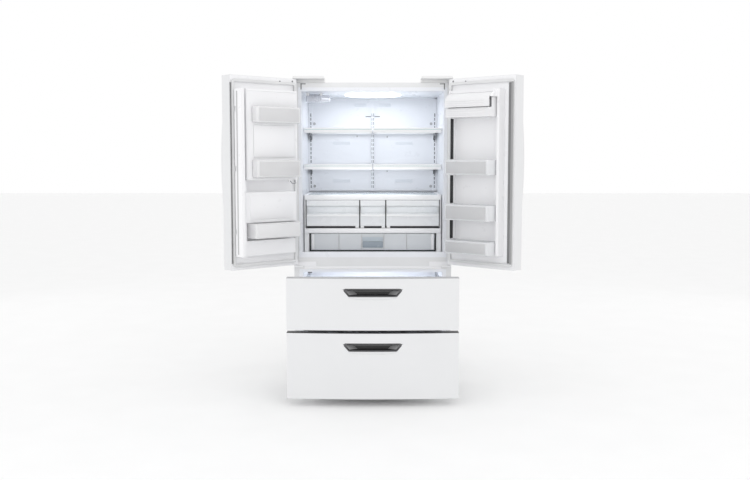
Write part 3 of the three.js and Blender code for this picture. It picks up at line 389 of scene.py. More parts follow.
def tray(points, low, high, wall, corner, lip=0.0, foot=0.004):
    """A drawing function for an open tray: rounded foot, straight walls and a rolled lip."""
    def draw(form):
        def at(distance, z):
            return flat(rounded(inset(points, distance), max(corner - distance, 0.0015)), z)
        rings = [at(foot, low), at(foot * 0.3, low + foot * 0.3), at(0, low + foot)]
        if lip:
            rings += [at(0, high - lip * 1.6), at(-lip * 0.6, high - lip * 1.3)]
        rings += [at(-lip * 0.6, high - 0.0012), at(-lip * 0.6 + 0.0012, high), at(wall, high)]
        rings += [at(wall, low + wall + foot), at(wall + foot, low + wall)]
        loft(form, rings)
    return draw


def quad(low, high, taper_low=0.0, taper_high=0.0):
    """A plan outline, narrowed at its inner (+Y) end."""
    return [(low.x, low.y), (high.x, low.y), (high.x - taper_high, high.y), (low.x + taper_low, high.y)]


# ------------------------------------------------------------------ fridge shelves

for level in ("upper", "lower"):
    for side in ("left", "right"):
        low, high = shut_box(f"shelf_{level}_{side}")
        back = duct_low.y - 0.0006
        top = high.z
        piece(
            f"shelf_glass_{level}_{side}",
            blocks(((low.x + 0.006, low.y + 0.008, top - 0.0062),
                    (high.x - 0.006, back - 0.006, top - 0.0022)), edge=0.0008),
            GLASS, "cabinet")
        piece(
            f"shelf_trim_{level}_{side}",
            blocks(
                ((low.x, low.y, top - 0.030), (high.x, low.y + 0.013, top)),
                ((low.x + 0.001, low.y + 0.010, top - 0.020), (low.x + 0.010, back, top - 0.0005)),
                ((high.x - 0.010, low.y + 0.010, top - 0.020), (high.x - 0.001, back, top - 0.0005)),
                ((low.x + 0.002, back - 0.014, top - 0.024), (high.x - 0.002, back, top)), edge=0.0022),
            WHITE_PLASTIC, "cabinet", instead_of=(f"shelf_{level}_{side}",))
        piece(
            f"shelf_line_{level}_{side}",
            blocks(((low.x + 0.003, low.y - 0.0006, top - 0.0105),
                    (high.x - 0.003, low.y + 0.001, top - 0.0085)), edge=0.0003),
            GLASS_EDGE, "cabinet")
        outer = low.x + 0.012 if side == "left" else high.x - 0.018
        arm = [(back, top - 0.062), (back, top - 0.022), (back - 0.20, top - 0.022),
               (back - 0.19, top - 0.030), (back - 0.05, top - 0.040), (back - 0.02, top - 0.062)]
        piece(
            f"shelf_bracket_{level}_{side}",
            lambda form, x=outer, outline=arm: loft(form, [
                [Vector((x + shift, y, z)) for y, z in outline] for shift in (0, 0.006)]),
            BRACKET_GREY, "cabinet", edge=0.001)

# ------------------------------------------------------------------ back wall and ceiling

wall_y = duct_low.y + 0.014                # face of the duct cover between its rails
wall_top = duct_high.z
upper_top = shut_box("shelf_upper_left")[1].z
lower_top = shut_box("shelf_lower_left")[1].z


def vent(form, x, z, width, rows, pitch=0.007):
    for row in range(rows):
        slab(form, (x - width / 2, wall_y - 0.0022, z + row * pitch),
             (x + width / 2, wall_y + 0.001, z + row * pitch + 0.0032), 0.0008)


def vents(form):
    vent(form, -0.077, wall_top - 0.046, 0.075, 3)
    vent(form, 0.077, wall_top - 0.046, 0.075, 3)
    for x in (-0.20, 0.20):
        for drop in (0.287, 0.527):
            vent(form, x, wall_top - drop, 0.11, 3)


# Dark blocks in the shelf rails' slots: painted shade inside the holes.
def rail_slots(form):
    pitch = (upper_top - lower_top) / 4
    outer = duct_high.x - 0.011            # middle of the outer rails
    front, back = duct_low.y - 0.0002, duct_low.y + 0.0035
    for x, half in ((-outer, 0.0035), (-0.005, 0.0025), (0.005, 0.0025), (outer, 0.0035)):
        for step in range(-2, 7):
            top = lower_top + step * pitch
            for low_z, high_z in ((top - 0.022, top - 0.001), (top - 0.047, top - 0.028)):
                slab(form, (x - half, front, low_z), (x + half, back, high_z), 0.0009)


piece("rail_slots", rail_slots, BRACKET_GREY, "cabinet")
piece("wall_vents", vents, VENT_GREY, "cabinet")

# Filling strips that close the joint between the duct cover, the side walls and the ceiling.
duct_strips = [((duct_low.x, wall_y + 0.0005, wall_top), (duct_high.x, duct_high.y, wall_top + 0.0076))]
for x0, x1 in ((duct_low.x - 0.0028, duct_low.x - 0.0001), (duct_high.x + 0.0001, duct_high.x + 0.0028)):
    duct_strips.append(((x0, duct_low.y + 0.0005, duct_low.z), (x1, duct_high.y, wall_top)))
piece("duct_strips", blocks(*duct_strips), LINER, "cabinet")

# A tab over the middle of the upper shelf, and the sensor above it.
piece("wall_tab", blocks(
    ((-0.010, wall_y - 0.006, upper_top + 0.028), (0.008, wall_y + 0.001, upper_top + 0.060)), edge=0.002),
    GREY_PLASTIC, "cabinet")
piece("wall_sensor", blocks(
    ((-0.046, wall_y - 0.003, wall_top - 0.112), (0.046, wall_y + 0.001, wall_top - 0.1075)),
    ((-0.008, wall_y - 0.002, wall_top - 0.098), (0.008, wall_y + 0.001, wall_top - 0.083)), edge=0.0012),
    BRACKET_GREY, "cabinet")


def screw_covers(form):
    large, small, outer = 0.009, 0.0045, duct_high.x - 0.033
    high_z, low_z = wall_top - 0.155, duct_low.z + 0.029
    for x, z, radius in (
            (-outer, high_z, large), (outer, high_z, large), (-0.100, upper_top - 0.039, small),
            (0.092, upper_top - 0.042, small), (0.092, lower_top - 0.046, small), (-outer, low_z, large),
            (outer, low_z, large)):
        lathe(form, [(radius * 0.55, -0.0034), (radius, -0.0022), (radius, 0.001)], (x, wall_y, z), "y", 20)


piece("wall_screw_covers", screw_covers, MULLION_GREY, "cabinet")

lamp_low, lamp_high = shut_box("lamp_lens")


def lamp_dome(form):
    middle = (lamp_low + lamp_high) / 2
    half_x = (lamp_high.x - lamp_low.x) / 2
    half_y = (lamp_high.y - lamp_low.y) / 2
    rings = []
    dome = ((1.0, 0.0), (0.995, 0.005), (0.94, 0.010), (0.80, 0.0135), (0.5, 0.0162), (0.12, 0.017))
    for scale, drop in dome:
        rings.append([
            Vector((middle.x + half_x * scale * math.cos(a), middle.y + half_y * scale * math.sin(a),
                    lamp_high.z - drop))
            for a in (2 * math.pi * k / 56 for k in range(56))])
    loft(form, rings)


piece("lamp_dome", lamp_dome, LAMP, "cabinet", instead_of=("lamp_lens",))

filter_low, filter_high = shut_box("water_filter")


def filter_body(form):
    centre = ((filter_low.x + filter_high.x) / 2, (filter_low.y + filter_high.y) / 2,
              filter_low.z + (filter_high.y - filter_low.y) / 2)
    half = (filter_high.x - filter_low.x) / 2
    radius = (filter_high.y - filter_low.y) / 2
    profile = [(radius * 0.7, -half), (radius, -half + 0.006)]
    ribs = 7
    for rib in range(ribs):
        start = -half + 0.012 + rib * 0.0125
        profile += [(radius, start), (radius, start + 0.006), (radius * 0.90, start + 0.0075),
                    (radius * 0.90, start + 0.011)]
    profile += [(radius * 0.78, half - 0.036), (radius * 0.78, half - 0.008), (radius * 0.6, half)]
    lathe(form, profile, centre, "x", 32)


piece("filter_cartridge", filter_body, FILTER_GREY, "cabinet", instead_of=("water_filter",))
piece("filter_bracket", blocks(*[
    ((x0, filter_low.y + 0.004, filter_high.z - 0.016), (x1, filter_high.y - 0.004, filter_high.z))
    for x0, x1 in ((filter_low.x, filter_low.x + 0.020), (filter_high.x - 0.058, filter_high.x - 0.044))],
    edge=0.002), WHITE_PLASTIC, "cabinet")

# ------------------------------------------------------------------ crispers and pantry drawer

frame_low, frame_high = shut_box("crisper_frame")


def crisper(node, body, feet):
    low, high = shut_box(node)
    face_y = low.y
    tub = [(low.x + 0.001, face_y + 0.010), (high.x - 0.001, face_y + 0.010), (high.x - 0.001, high.y),
           (low.x + 0.001, high.y)]
    piece(f"{node}_tub", tray(tub, low.z, high.z - 0.008, 0.0028, 0.012, lip=0.002), FROSTED, body,
          instead_of=(node,))
    top, bottom = high.z, low.z + 0.010
    drop = top - bottom

    def front(form):
        # side view of the front, from its top edge down: lip, finger recess, bright rail, lower face
        face = [
            (0.012, top), (0.002, top), (0.0, top - 0.003), (0.0, top - drop * 0.20),
            (0.010, top - drop * 0.25), (0.010, top - drop * 0.50), (0.0, top - drop * 0.545),
            (-0.001, top - drop * 0.62),
            (0.0025, top - drop * 0.66), (0.0025, bottom + 0.004), (0.005, bottom), (0.012, bottom)]
        ends = [low.x, low.x + 0.0015, high.x - 0.0015, high.x]
        for k, x in enumerate(ends):
            ends[k] = [Vector((x, face_y + y, z)) for y, z in face]
        loft(form, ends)

    piece(f"{node}_front", front, CRISPER_WHITE, body, edge=0.0008)
    # The recess face is a touch darker: painted shade.
    piece(f"{node}_recess", blocks(
        ((low.x + 0.004, face_y + 0.0085, top - drop * 0.49),
         (high.x - 0.004, face_y + 0.0098, top - drop * 0.26)), edge=0.0004), CRISPER_RECESS_SHADE, body)
    piece(f"{node}_rail", blocks(
        ((low.x + 0.002, face_y - 0.0026, top - drop * 0.62),
         (high.x - 0.002, face_y + 0.0006, top - drop * 0.55)), edge=0.0011), WHITE_PLASTIC, body)
    # Dark strip along the foot of the front, broken by the feet: painted shadow under the crisper.
    under_shade = []
    stops = [low.x + 0.003] + [x for foot in feet for x in (foot - 0.011, foot + 0.011)] + [high.x - 0.003]
    for start, end in zip(stops[::2], stops[1::2]):
        under_shade.append(((start, face_y + 0.002, low.z), (end, face_y + 0.008, bottom - 0.0004)))
    piece(f"{node}_skirt", blocks(*under_shade, edge=0.0006), DARK_PLASTIC, body)
    piece(f"{node}_feet", blocks(*[
        ((foot - 0.010, face_y + 0.001, low.z), (foot + 0.010, face_y + 0.010, bottom - 0.0002))
        for foot in feet], edge=0.0015), WHITE_PLASTIC, body)


for node, body, feet in (
        ("crisper_left", "left_crisper", (-0.092,)), ("crisper_center", "center_crisper", (-0.062, 0.062)),
        ("crisper_right", "right_crisper", (0.092,))):
    crisper(node, body, feet)

crisper_low, crisper_high = shut_box("crisper_center")
outer_low, outer_high = shut_box("crisper_right")
left_low, left_high = shut_box("crisper_left")
# Dark fillers in the gaps between and beside the crispers: painted shadow.
gaps = []
for near, far in ((left_high.x, crisper_low.x), (crisper_high.x, outer_low.x)):
    gaps.append(((near + 0.0006, crisper_low.y + 0.003, crisper_low.z),
                 (far - 0.0006, crisper_low.y + 0.007, crisper_high.z + 0.002)))
for x in (left_low.x - 0.0048, outer_high.x + 0.0006):
    gaps.append(((x, crisper_low.y + 0.003, crisper_low.z - 0.002),
                 (x + 0.0042, crisper_low.y + 0.0078, crisper_high.z + 0.004)))
piece("crisper_seals", blocks(*gaps, edge=0.0004), DARK_PLASTIC, "cabinet")
piece("crisper_cover_glass", blocks(
    ((frame_low.x + 0.022, frame_low.y + 0.030, frame_high.z - 0.0005),
     (frame_high.x - 0.022, frame_high.y - 0.020, frame_high.z + 0.0012)), edge=0.0005),
    GLASS_PANE, "cabinet")
piece("crisper_cover_trim", blocks(
    ((frame_low.x + 0.001, frame_low.y - 0.005, frame_high.z - 0.0305),
     (frame_high.x - 0.001, frame_low.y + 0.002, frame_high.z)), edge=0.0022),
    WHITE_PLASTIC, "cabinet")
piece("crisper_frame_rails", blocks(*[
    ((frame_low.x + 0.001, frame_low.y - 0.010, bottom), (frame_high.x - 0.001, frame_low.y + 0.001, top))
    for bottom, top in ((crisper_low.z - 0.0305, crisper_low.z - 0.0025),
                        (frame_low.z + 0.0002, frame_low.z + 0.0030))], edge=0.0013),
    DOOR_LINER, "cabinet")

pantry_low, pantry_high = shut_box("pantry_drawer")
pantry_tub = [
    (pantry_low.x + 0.001, pantry_low.y + 0.010), (pantry_high.x - 0.001, pantry_low.y + 0.010),
    (pantry_high.x - 0.001, pantry_high.y), (pantry_low.x + 0.001, pantry_high.y)]
piece("pantry_tub", tray(pantry_tub, pantry_low.z, pantry_high.z - 0.008, 0.003, 0.012, lip=0.002), CLEAR,
      "pantry", instead_of=("pantry_drawer",))
front_bottom = pantry_low.z - 0.003        # the front hangs a little below its tub
border_bottom = front_bottom - 0.008
face_y = pantry_low.y                      # front plane of the drawer
piece("pantry_front", blocks(
    ((pantry_low.x + 0.008, face_y, front_bottom), (pantry_high.x - 0.008, face_y + 0.0075, pantry_high.z)),
    edge=0.003), SMOKED_BLUE, "pantry")
# Dark strips beside and below the pantry front: painted shadow in the gaps round it.
piece("pantry_border", blocks(*[
    ((x0, face_y + 0.001, border_bottom), (x1, face_y + 0.007, top)) for x0, x1, top in (
        (pantry_low.x, pantry_low.x + 0.0072, pantry_high.z),
        (pantry_high.x - 0.0072, pantry_high.x, pantry_high.z),
        (pantry_low.x + 0.004, pantry_high.x - 0.004, front_bottom - 0.0004))], edge=0.0008),
    DARK_PLASTIC, "pantry")
strip_ends = (pantry_high.x * 0.925, pantry_high.x * 0.965)
piece("pantry_end_strips", blocks(*[
    ((x0, face_y - 0.0010, front_bottom + 0.003), (x1, face_y + 0.0004, pantry_high.z - 0.003))
    for x0, x1 in ((-strip_ends[1], -strip_ends[0]), strip_ends)], edge=0.0005), DAIRY_WHITE, "pantry")
handle_low, handle_high = pantry_high.z - 0.084, pantry_high.z - 0.020
piece("pantry_handle", blocks(
    ((-0.060, face_y - 0.0030, handle_low), (0.060, face_y + 0.001, handle_low + 0.036)), edge=0.002),
    HANDLE_BLUE, "pantry")
piece("pantry_handle_top", blocks(
    ((-0.060, face_y - 0.0024, handle_low + 0.0365), (0.060, face_y + 0.001, handle_high)), edge=0.002),
    HANDLE_LIGHT, "pantry")
piece("pantry_dividers", blocks(*[
    ((x - 0.0012, face_y + 0.011, pantry_low.z + 0.004),
     (x + 0.0012, pantry_high.y - 0.004, pantry_high.z - 0.012)) for x in (-0.208, 0.208)],
    edge=0.0005), FROSTED, "pantry")
piece("pantry_lines", blocks(*[
    ((x - 0.0022, face_y - 0.0012, front_bottom + 0.003),
     (x + 0.0022, face_y + 0.0004, pantry_high.z - 0.003))
    for x in (-0.200, -0.066, 0.066, 0.200)], edge=0.0004), MULLION_GREY, "pantry")

# ------------------------------------------------------------------ door bins and baskets


def basket(node, body, side, material, front_material, lip=0.003):
    """A door bin: tray, tinted front window, and a fine line of ribs inside its front."""
    low, high = shut_box(node, place_of[body])
    taper = 0.018 if side > 0 else 0.012
    outline = quad(low, high, taper_low=taper if side > 0 else 0.0, taper_high=taper if side < 0 else 0.0)
    piece(f"{node}_tray", tray(outline, low.z, high.z, 0.0025, 0.010, lip=lip), material, body,
          instead_of=(node,))
    x0, x1 = low.x + 0.012, high.x - 0.012
    if side > 0:
        x0 += taper
    else:
        x1 -= taper
    piece(f"{node}_window", blocks(
        ((x0, high.y - 0.0002, low.z + 0.007), (x1, high.y + 0.0016, high.z - 0.009)), edge=0.0007),
        front_material, body)
    ribs = []
    for k in range(1, 6):
        x = low.x + (high.x - low.x) * k / 6
        ribs.append(((x - 0.001, low.y + 0.004, low.z + 0.0024), (x + 0.001, high.y - 0.006, low.z + 0.005)))
    piece(f"{node}_ribs", blocks(*ribs, edge=0.0004), material, body)


for level in ("upper", "middle", "lower"):
    basket(f"right_basket_{level}", "right_door", 1, FROSTED, SMOKED)
for level in ("upper", "lower"):
    basket(f"ice_door_bin_{level}", "ice_door", -1, BIN_WHITE, BIN_WINDOW, lip=0.002)

bin_low, bin_high = shut_box("left_bin_lower", LEFT)
piece("left_bin_tray", tray(quad(bin_low, bin_high, taper_high=0.018), bin_low.z, bin_high.z, 0.003, 0.012,
                            lip=0.0035), BIN_WHITE, "left_door", instead_of=("left_bin_lower",))

dairy_low, dairy_high = shut_box("dairy_bin", RIGHT)
lid_low, lid_high = shut_box("dairy_lid", RIGHT)
pivot_y, pivot_z = lid_low.y + 0.003, lid_high.z - 0.003

# The lid's section from its pivot, over a rounded shoulder, and down its front: (y, z) from the pivot.
lid_outside = [(-0.0027, -0.002), (-0.002, 0.0025), (0.002, 0.0029), (0.012, 0.0005), (0.026, -0.0075),
               (0.038, -0.019), (0.0455, -0.032), (0.0478, -0.046), (0.0479, -0.0758)]
lid_inside = [(0.0455, -0.0758), (0.0454, -0.0465), (0.0432, -0.033), (0.036, -0.0206), (0.0245, -0.0095),
              (0.011, -0.0019), (0.0025, 0.0004)]


def from_pivot(points):
    return [(pivot_y + y, pivot_z + z) for y, z in points]


def across(form, outline, x_low, x_high):
    """A (y, z) outline drawn out along X."""
    loft(form, [[Vector((x, y, z)) for y, z in outline] for x in (x_low, x_high)])


def lid(form):
    left, right = lid_low.x + 0.0002, lid_high.x - 0.0002
    across(form, from_pivot(lid_outside + lid_inside), left, right)
    cheek = from_pivot([(0.002, -0.022), (0.0405, -0.022), (0.0405, -0.0756)] + lid_inside)
    across(form, cheek, left, left + 0.002)
    across(form, cheek, right - 0.002, right)
    rod(form, [(left - 0.0035, pivot_y, pivot_z), (right + 0.0035, pivot_y, pivot_z)], 0.0022)
    slab(form, (left, lid_high.y - 0.0026, lid_low.z),
         (right, lid_high.y + 0.0008, lid_low.z + 0.0035), 0.0009)


piece("dairy_cover", lid, DAIRY_WHITE, "lid", instead_of=("dairy_lid",))
cheek_back, cheek_foot = dairy_low.y + 0.001, dairy_high.z + 0.0015
cheek_outline = [(cheek_back, cheek_foot), (dairy_high.y - 0.002, cheek_foot)]
cheek_outline += from_pivot(lid_outside[5:2:-1] + [(0.001, 0.003), (-0.003, 0.012)])
cheek_outline += [(cheek_back, pivot_z + 0.012)]
piece("dairy_cheek", lambda form: across(
    form, cheek_outline, dairy_low.x - 0.0035, lid_low.x - 0.0006), DOOR_LINER, "right_door", edge=0.001)


def ridges(x_low, x_high, y, z_low, count, pitch=0.011):
    return blocks(*[((x_low, y - 0.0006, z_low + k * pitch), (x_high, y + 0.0012, z_low + 0.0035 + k * pitch))
                    for k in range(count)], edge=0.0007)


piece("dairy_ridges", ridges(dairy_low.x + 0.030, dairy_high.x - 0.012, dairy_high.y, dairy_low.z + 0.009, 4),
      DAIRY_WHITE, "right_door")
piece("dairy_cover_ridges", ridges(lid_low.x + 0.030, lid_high.x - 0.012, lid_high.y, lid_low.z + 0.010, 3),
      DAIRY_WHITE, "lid")

# Dark strips between the baskets, beside the hinge side of the right door's inner panel: painted shadow of
# the gap on the door's hinge side.
panel_low = shut_box("right_door_liner", RIGHT)[0]
levels = [shut_box(f"right_basket_{level}", RIGHT) for level in ("lower", "middle", "upper")]
levels.append((dairy_low, dairy_high))
hang_x = levels[0][1].x
strips = []
for below, above in zip(levels, levels[1:]):
    strips.append(((hang_x + 0.0012, panel_low.y + 0.0035, below[1].z + 0.004),
                   (hang_x + 0.0042, front_y + 0.036, above[0].z - 0.004)))
piece("right_panel_strips", blocks(*strips, edge=0.0006), DARK_PLASTIC, "right_door")

# ------------------------------------------------------------------ gaskets


def sealing_ring(low, high, y_door, y_case, width):
    """A drawing function for a magnetic door seal: foot, bellows and flat magnet lip, run round a frame."""
    depth = y_case - y_door
    profile = [
        (0.10, 0.0), (0.90, 0.0), (0.86, 0.18), (0.66, 0.24), (0.64, 0.34), (0.96, 0.42), (0.98, 0.56),
        (0.70, 0.64), (0.68, 0.72), (0.94, 0.78), (0.96, 1.0), (0.06, 1.0), (0.04, 0.78), (0.30, 0.72),
        (0.28, 0.64), (0.02, 0.56), (0.04, 0.42), (0.34, 0.34), (0.32, 0.24), (0.14, 0.18)]

    def draw(form):
        rings = []
        corners = [(low.x, low.z), (high.x, low.z), (high.x, high.z), (low.x, high.z)]
        for share, rise in profile:
            line = rounded(inset(corners, share * width), max(0.004, 0.016 - share * 0.010), 4)
            rings.append([Vector((point[0], y_door + depth * rise, point[1])) for point in line])
        loft(form, rings, closed=True)
    return draw


for side, place in (("left", LEFT), ("right", RIGHT)):
    low, high = shut_box(f"{side}_door_gasket", place)
    piece(f"{side}_door_seal", sealing_ring(low, high, low.y, high.y, 0.016), RUBBER, f"{side}_door",
          instead_of=(f"{side}_door_gasket",))
for word, place in (("upper", UPPER), ("lower", LOWER)):
    low, high = shut_box(f"{word}_drawer_front", place)
    seal_low = Vector((low.x + 0.012, high.y, low.z + 0.012))
    seal_high = Vector((high.x - 0.012, high.y, high.z - 0.012))
    piece(f"{word}_drawer_seal", sealing_ring(seal_low, seal_high, high.y - 0.0002, front_y - 0.0003, 0.016),
          RUBBER, f"{word}_drawer")

# Along the seals' long free runs, a dark channel beside each seal is painted shadow, and the right seal's
# face there is rubber painted in shade; the left seal's face keeps the plain rubber colour.
for side, place, sign, channel, face in (
        ("left", LEFT, -1, (-0.0056, -0.0012), RUBBER), ("right", RIGHT, 1, (0.0165, 0.036), SHADED_SEAL_GREY)):
    low, high = shut_box(f"{side}_door_gasket", place)
    free = min(abs(low.x), abs(high.x))
    x0, x1 = sorted((sign * (free + channel[0]), sign * (free + channel[1])))
    piece(f"{side}_seal_channel", blocks(
        ((x0, low.y - 0.0002, low.z + 0.020), (x1, low.y + 0.0045, high.z - 0.020)), edge=0.0008),
        CHANNEL_GREY, f"{side}_door")
    x0, x1 = sorted((sign * (free + 0.0006), sign * (free + 0.0154)))
    piece(f"{side}_seal_face", blocks(
        ((x0, high.y - 0.0004, low.z + 0.016), (x1, high.y + 0.00015, high.z - 0.016))),
        face, f"{side}_door")

# Raised bead round the ice room door, and the steel strip on the mullion, which is drawn folded.
ice_low, ice_high = shut_box("ice_room_door", LEFT)
ice_bottom = ice_low.z + 0.014             # the door's lower edge, above its latch ears
piece("ice_door_bead", blocks(*[
    ((x0, ice_high.y - 0.0004, z0), (ice_high.x - 0.004, ice_high.y + 0.0022, z1)) for x0, z0, z1 in (
        (ice_low.x + 0.004, ice_high.z - 0.012, ice_high.z - 0.004),
        (ice_low.x + 0.004, ice_bottom + 0.004, ice_bottom + 0.010),
        (ice_high.x - 0.011, ice_bottom + 0.010, ice_high.z - 0.012))], edge=0.0011),
    DOOR_LINER, "ice_door")

mullion_low, mullion_high = shut_box("mullion", LEFT)
piece("mullion_strip", blocks(
    ((mullion_high.x - 0.0004, mullion_low.y + 0.017, mullion_low.z + 0.012),
     (mullion_high.x + 0.0002, mullion_low.y + 0.029, mullion_high.z - 0.012))),
    STRIP_GREY, "mullion_flap")

# Raised panels on the ice room door between its bins, and on the inner panel below it.
panel_bottom = shut_box("ice_door_bin_lower", LEFT)[1].z + 0.014
panel_top = shut_box("ice_door_bin_upper", LEFT)[0].z - 0.014
piece("ice_door_panel", blocks(
    ((ice_low.x + 0.019, ice_high.y - 0.0004, panel_bottom),
     (ice_high.x - 0.048, ice_high.y + 0.0018, panel_top)), edge=0.0009), DOOR_LINER, "ice_door")
inner_high = shut_box("left_door_liner", LEFT)[1]
piece("left_inner_panel", blocks(
    ((bin_low.x + 0.016, inner_high.y - 0.0004, bin_high.z + 0.020),
     (bin_high.x - 0.014, inner_high.y + 0.0018, bin_high.z + 0.153)),
    edge=0.0009), DOOR_LINER, "left_door")

# Wire bail that latches the ice room door, turning on a pin under the door.
latch_low, latch_high = shut_box("ice_latch", LEFT)


def bail(form):
    pin_y, pin_z = ice_high.y - 0.005, latch_high.z - 0.003
    front = latch_high.y - 0.0024
    foot = latch_low.z + 0.0024
    arm = [(0.0, pin_y, pin_z), (0.006, pin_y, pin_z), (0.008, pin_y + 0.003, pin_z - 0.001),
           (0.009, front - 0.002, pin_z - 0.007), (0.0095, front, foot + 0.003), (0.012, front, foot)]
    near = [(latch_low.x + x, y, z) for x, y, z in arm]
    far = [(latch_high.x - x, y, z) for x, y, z in reversed(arm)]
    rod(form, near + far, 0.0026)


piece("ice_latch_bail", bail, GREY_PLASTIC, "latch", instead_of=("ice_latch",))

# Screw plugs along the tops of the inner panels, near the hinges.


def plugs(sign):
    def draw(form):
        for x, drop in ((0.335, 0.018), (0.422, 0.013)):
            lathe(form, [(0.0050, 0.0), (0.0050, 0.0006), (0.0040, 0.0012)],
                  (sign * x, front_y - 0.0118, inner_high.z - drop), axis="y", sides=20)
    return draw


for side, sign in (("left", -1), ("right", 1)):
    piece(f"{side}_door_plugs", plugs(sign), BRACKET_GREY, f"{side}_door")

# ------------------------------------------------------------------ dispenser

unit_low, unit_high = shut_box("dispenser_housing", LEFT)
paddle_low, paddle_high = shut_box("dispenser_paddle", LEFT)
alcove_top = paddle_high.z + 0.010
alcove_floor = unit_low.z + 0.014
alcove_back = unit_high.y - 0.005
spout_x = (paddle_low.x + paddle_high.x) / 2


def door_front(x):
    """The bowed front of the doors."""
    return unit_low.y + 0.023 * (x / case_high.x) ** 2


def bowed_plate(x_low, x_high, z_low, z_high, proud, thick, steps=16):
    """A drawing function for a thin plate that lies on the bowed front."""
    def draw(form):
        rings = []
        for k in range(steps + 1):
            x = x_low + (x_high - x_low) * k / steps
            front = door_front(x) - 0.0015 - proud
            rings.append([Vector((x, front, z_low)), Vector((x, front, z_high)),
                          Vector((x, front + thick, z_high)), Vector((x, front + thick, z_low))])
        loft(form, rings)
    return draw


piece("dispenser_glass", bowed_plate(unit_low.x + 0.007, unit_high.x - 0.007, alcove_top + 0.010,
                                     unit_high.z - 0.008, 0.0008, 0.0016), BLACK_GLASS, "left_door",
      edge=0.0005)


def touch_dots(form):
    for k in range(5):
        x = spout_x + (k - 2) * 0.034
        lathe(form, [(0.0046, 0.0008), (0.0046, 0.0), (0.0040, -0.0005)],
              (x, door_front(x) - 0.0024, alcove_top + 0.040), axis="y", sides=24)


piece("dispenser_touch_dots", touch_dots, MULLION_GREY, "left_door")
spout_profile = [
    (0.015, 0.0), (0.015, -0.004), (0.0095, -0.007), (0.0080, -0.020), (0.0052, -0.021), (0.0052, -0.002)]
piece("dispenser_spout", lambda form: lathe(
    form, spout_profile, (spout_x, paddle_low.y - 0.012, alcove_top + 0.001)), DARK_PLASTIC, "left_door")


def drip_grille(form):
    left, right = unit_low.x + 0.018, unit_high.x - 0.018
    front, back = door_front(left) + 0.004, alcove_back - 0.001
    foot = alcove_floor - 0.0004
    slab(form, (left, front, foot), (right, front + 0.004, alcove_floor + 0.007), 0.0008)
    slab(form, (left, back - 0.004, foot), (right, back, alcove_floor + 0.007), 0.0008)
    slats = 17
    for k in range(slats):
        x = left + (right - left - 0.004) * k / (slats - 1)
        slab(form, (x, front + 0.002, foot), (x + 0.004, back - 0.002, alcove_floor + 0.006), 0.0006)


piece("dispenser_drip_grille", drip_grille, DARK_PLASTIC, "left_door")

# ------------------------------------------------------------------ drawer handles and baskets


def divided(points, longer=0.05, count=16):
    """An outline with points added along its long sides."""
    result = []
    for i, point in enumerate(points):
        start = Vector(point)
        after = Vector(points[(i + 1) % len(points)])
        parts = count if (after - start).length > longer else 1
        result += [start.lerp(after, step / parts) for step in range(parts)]
    return result


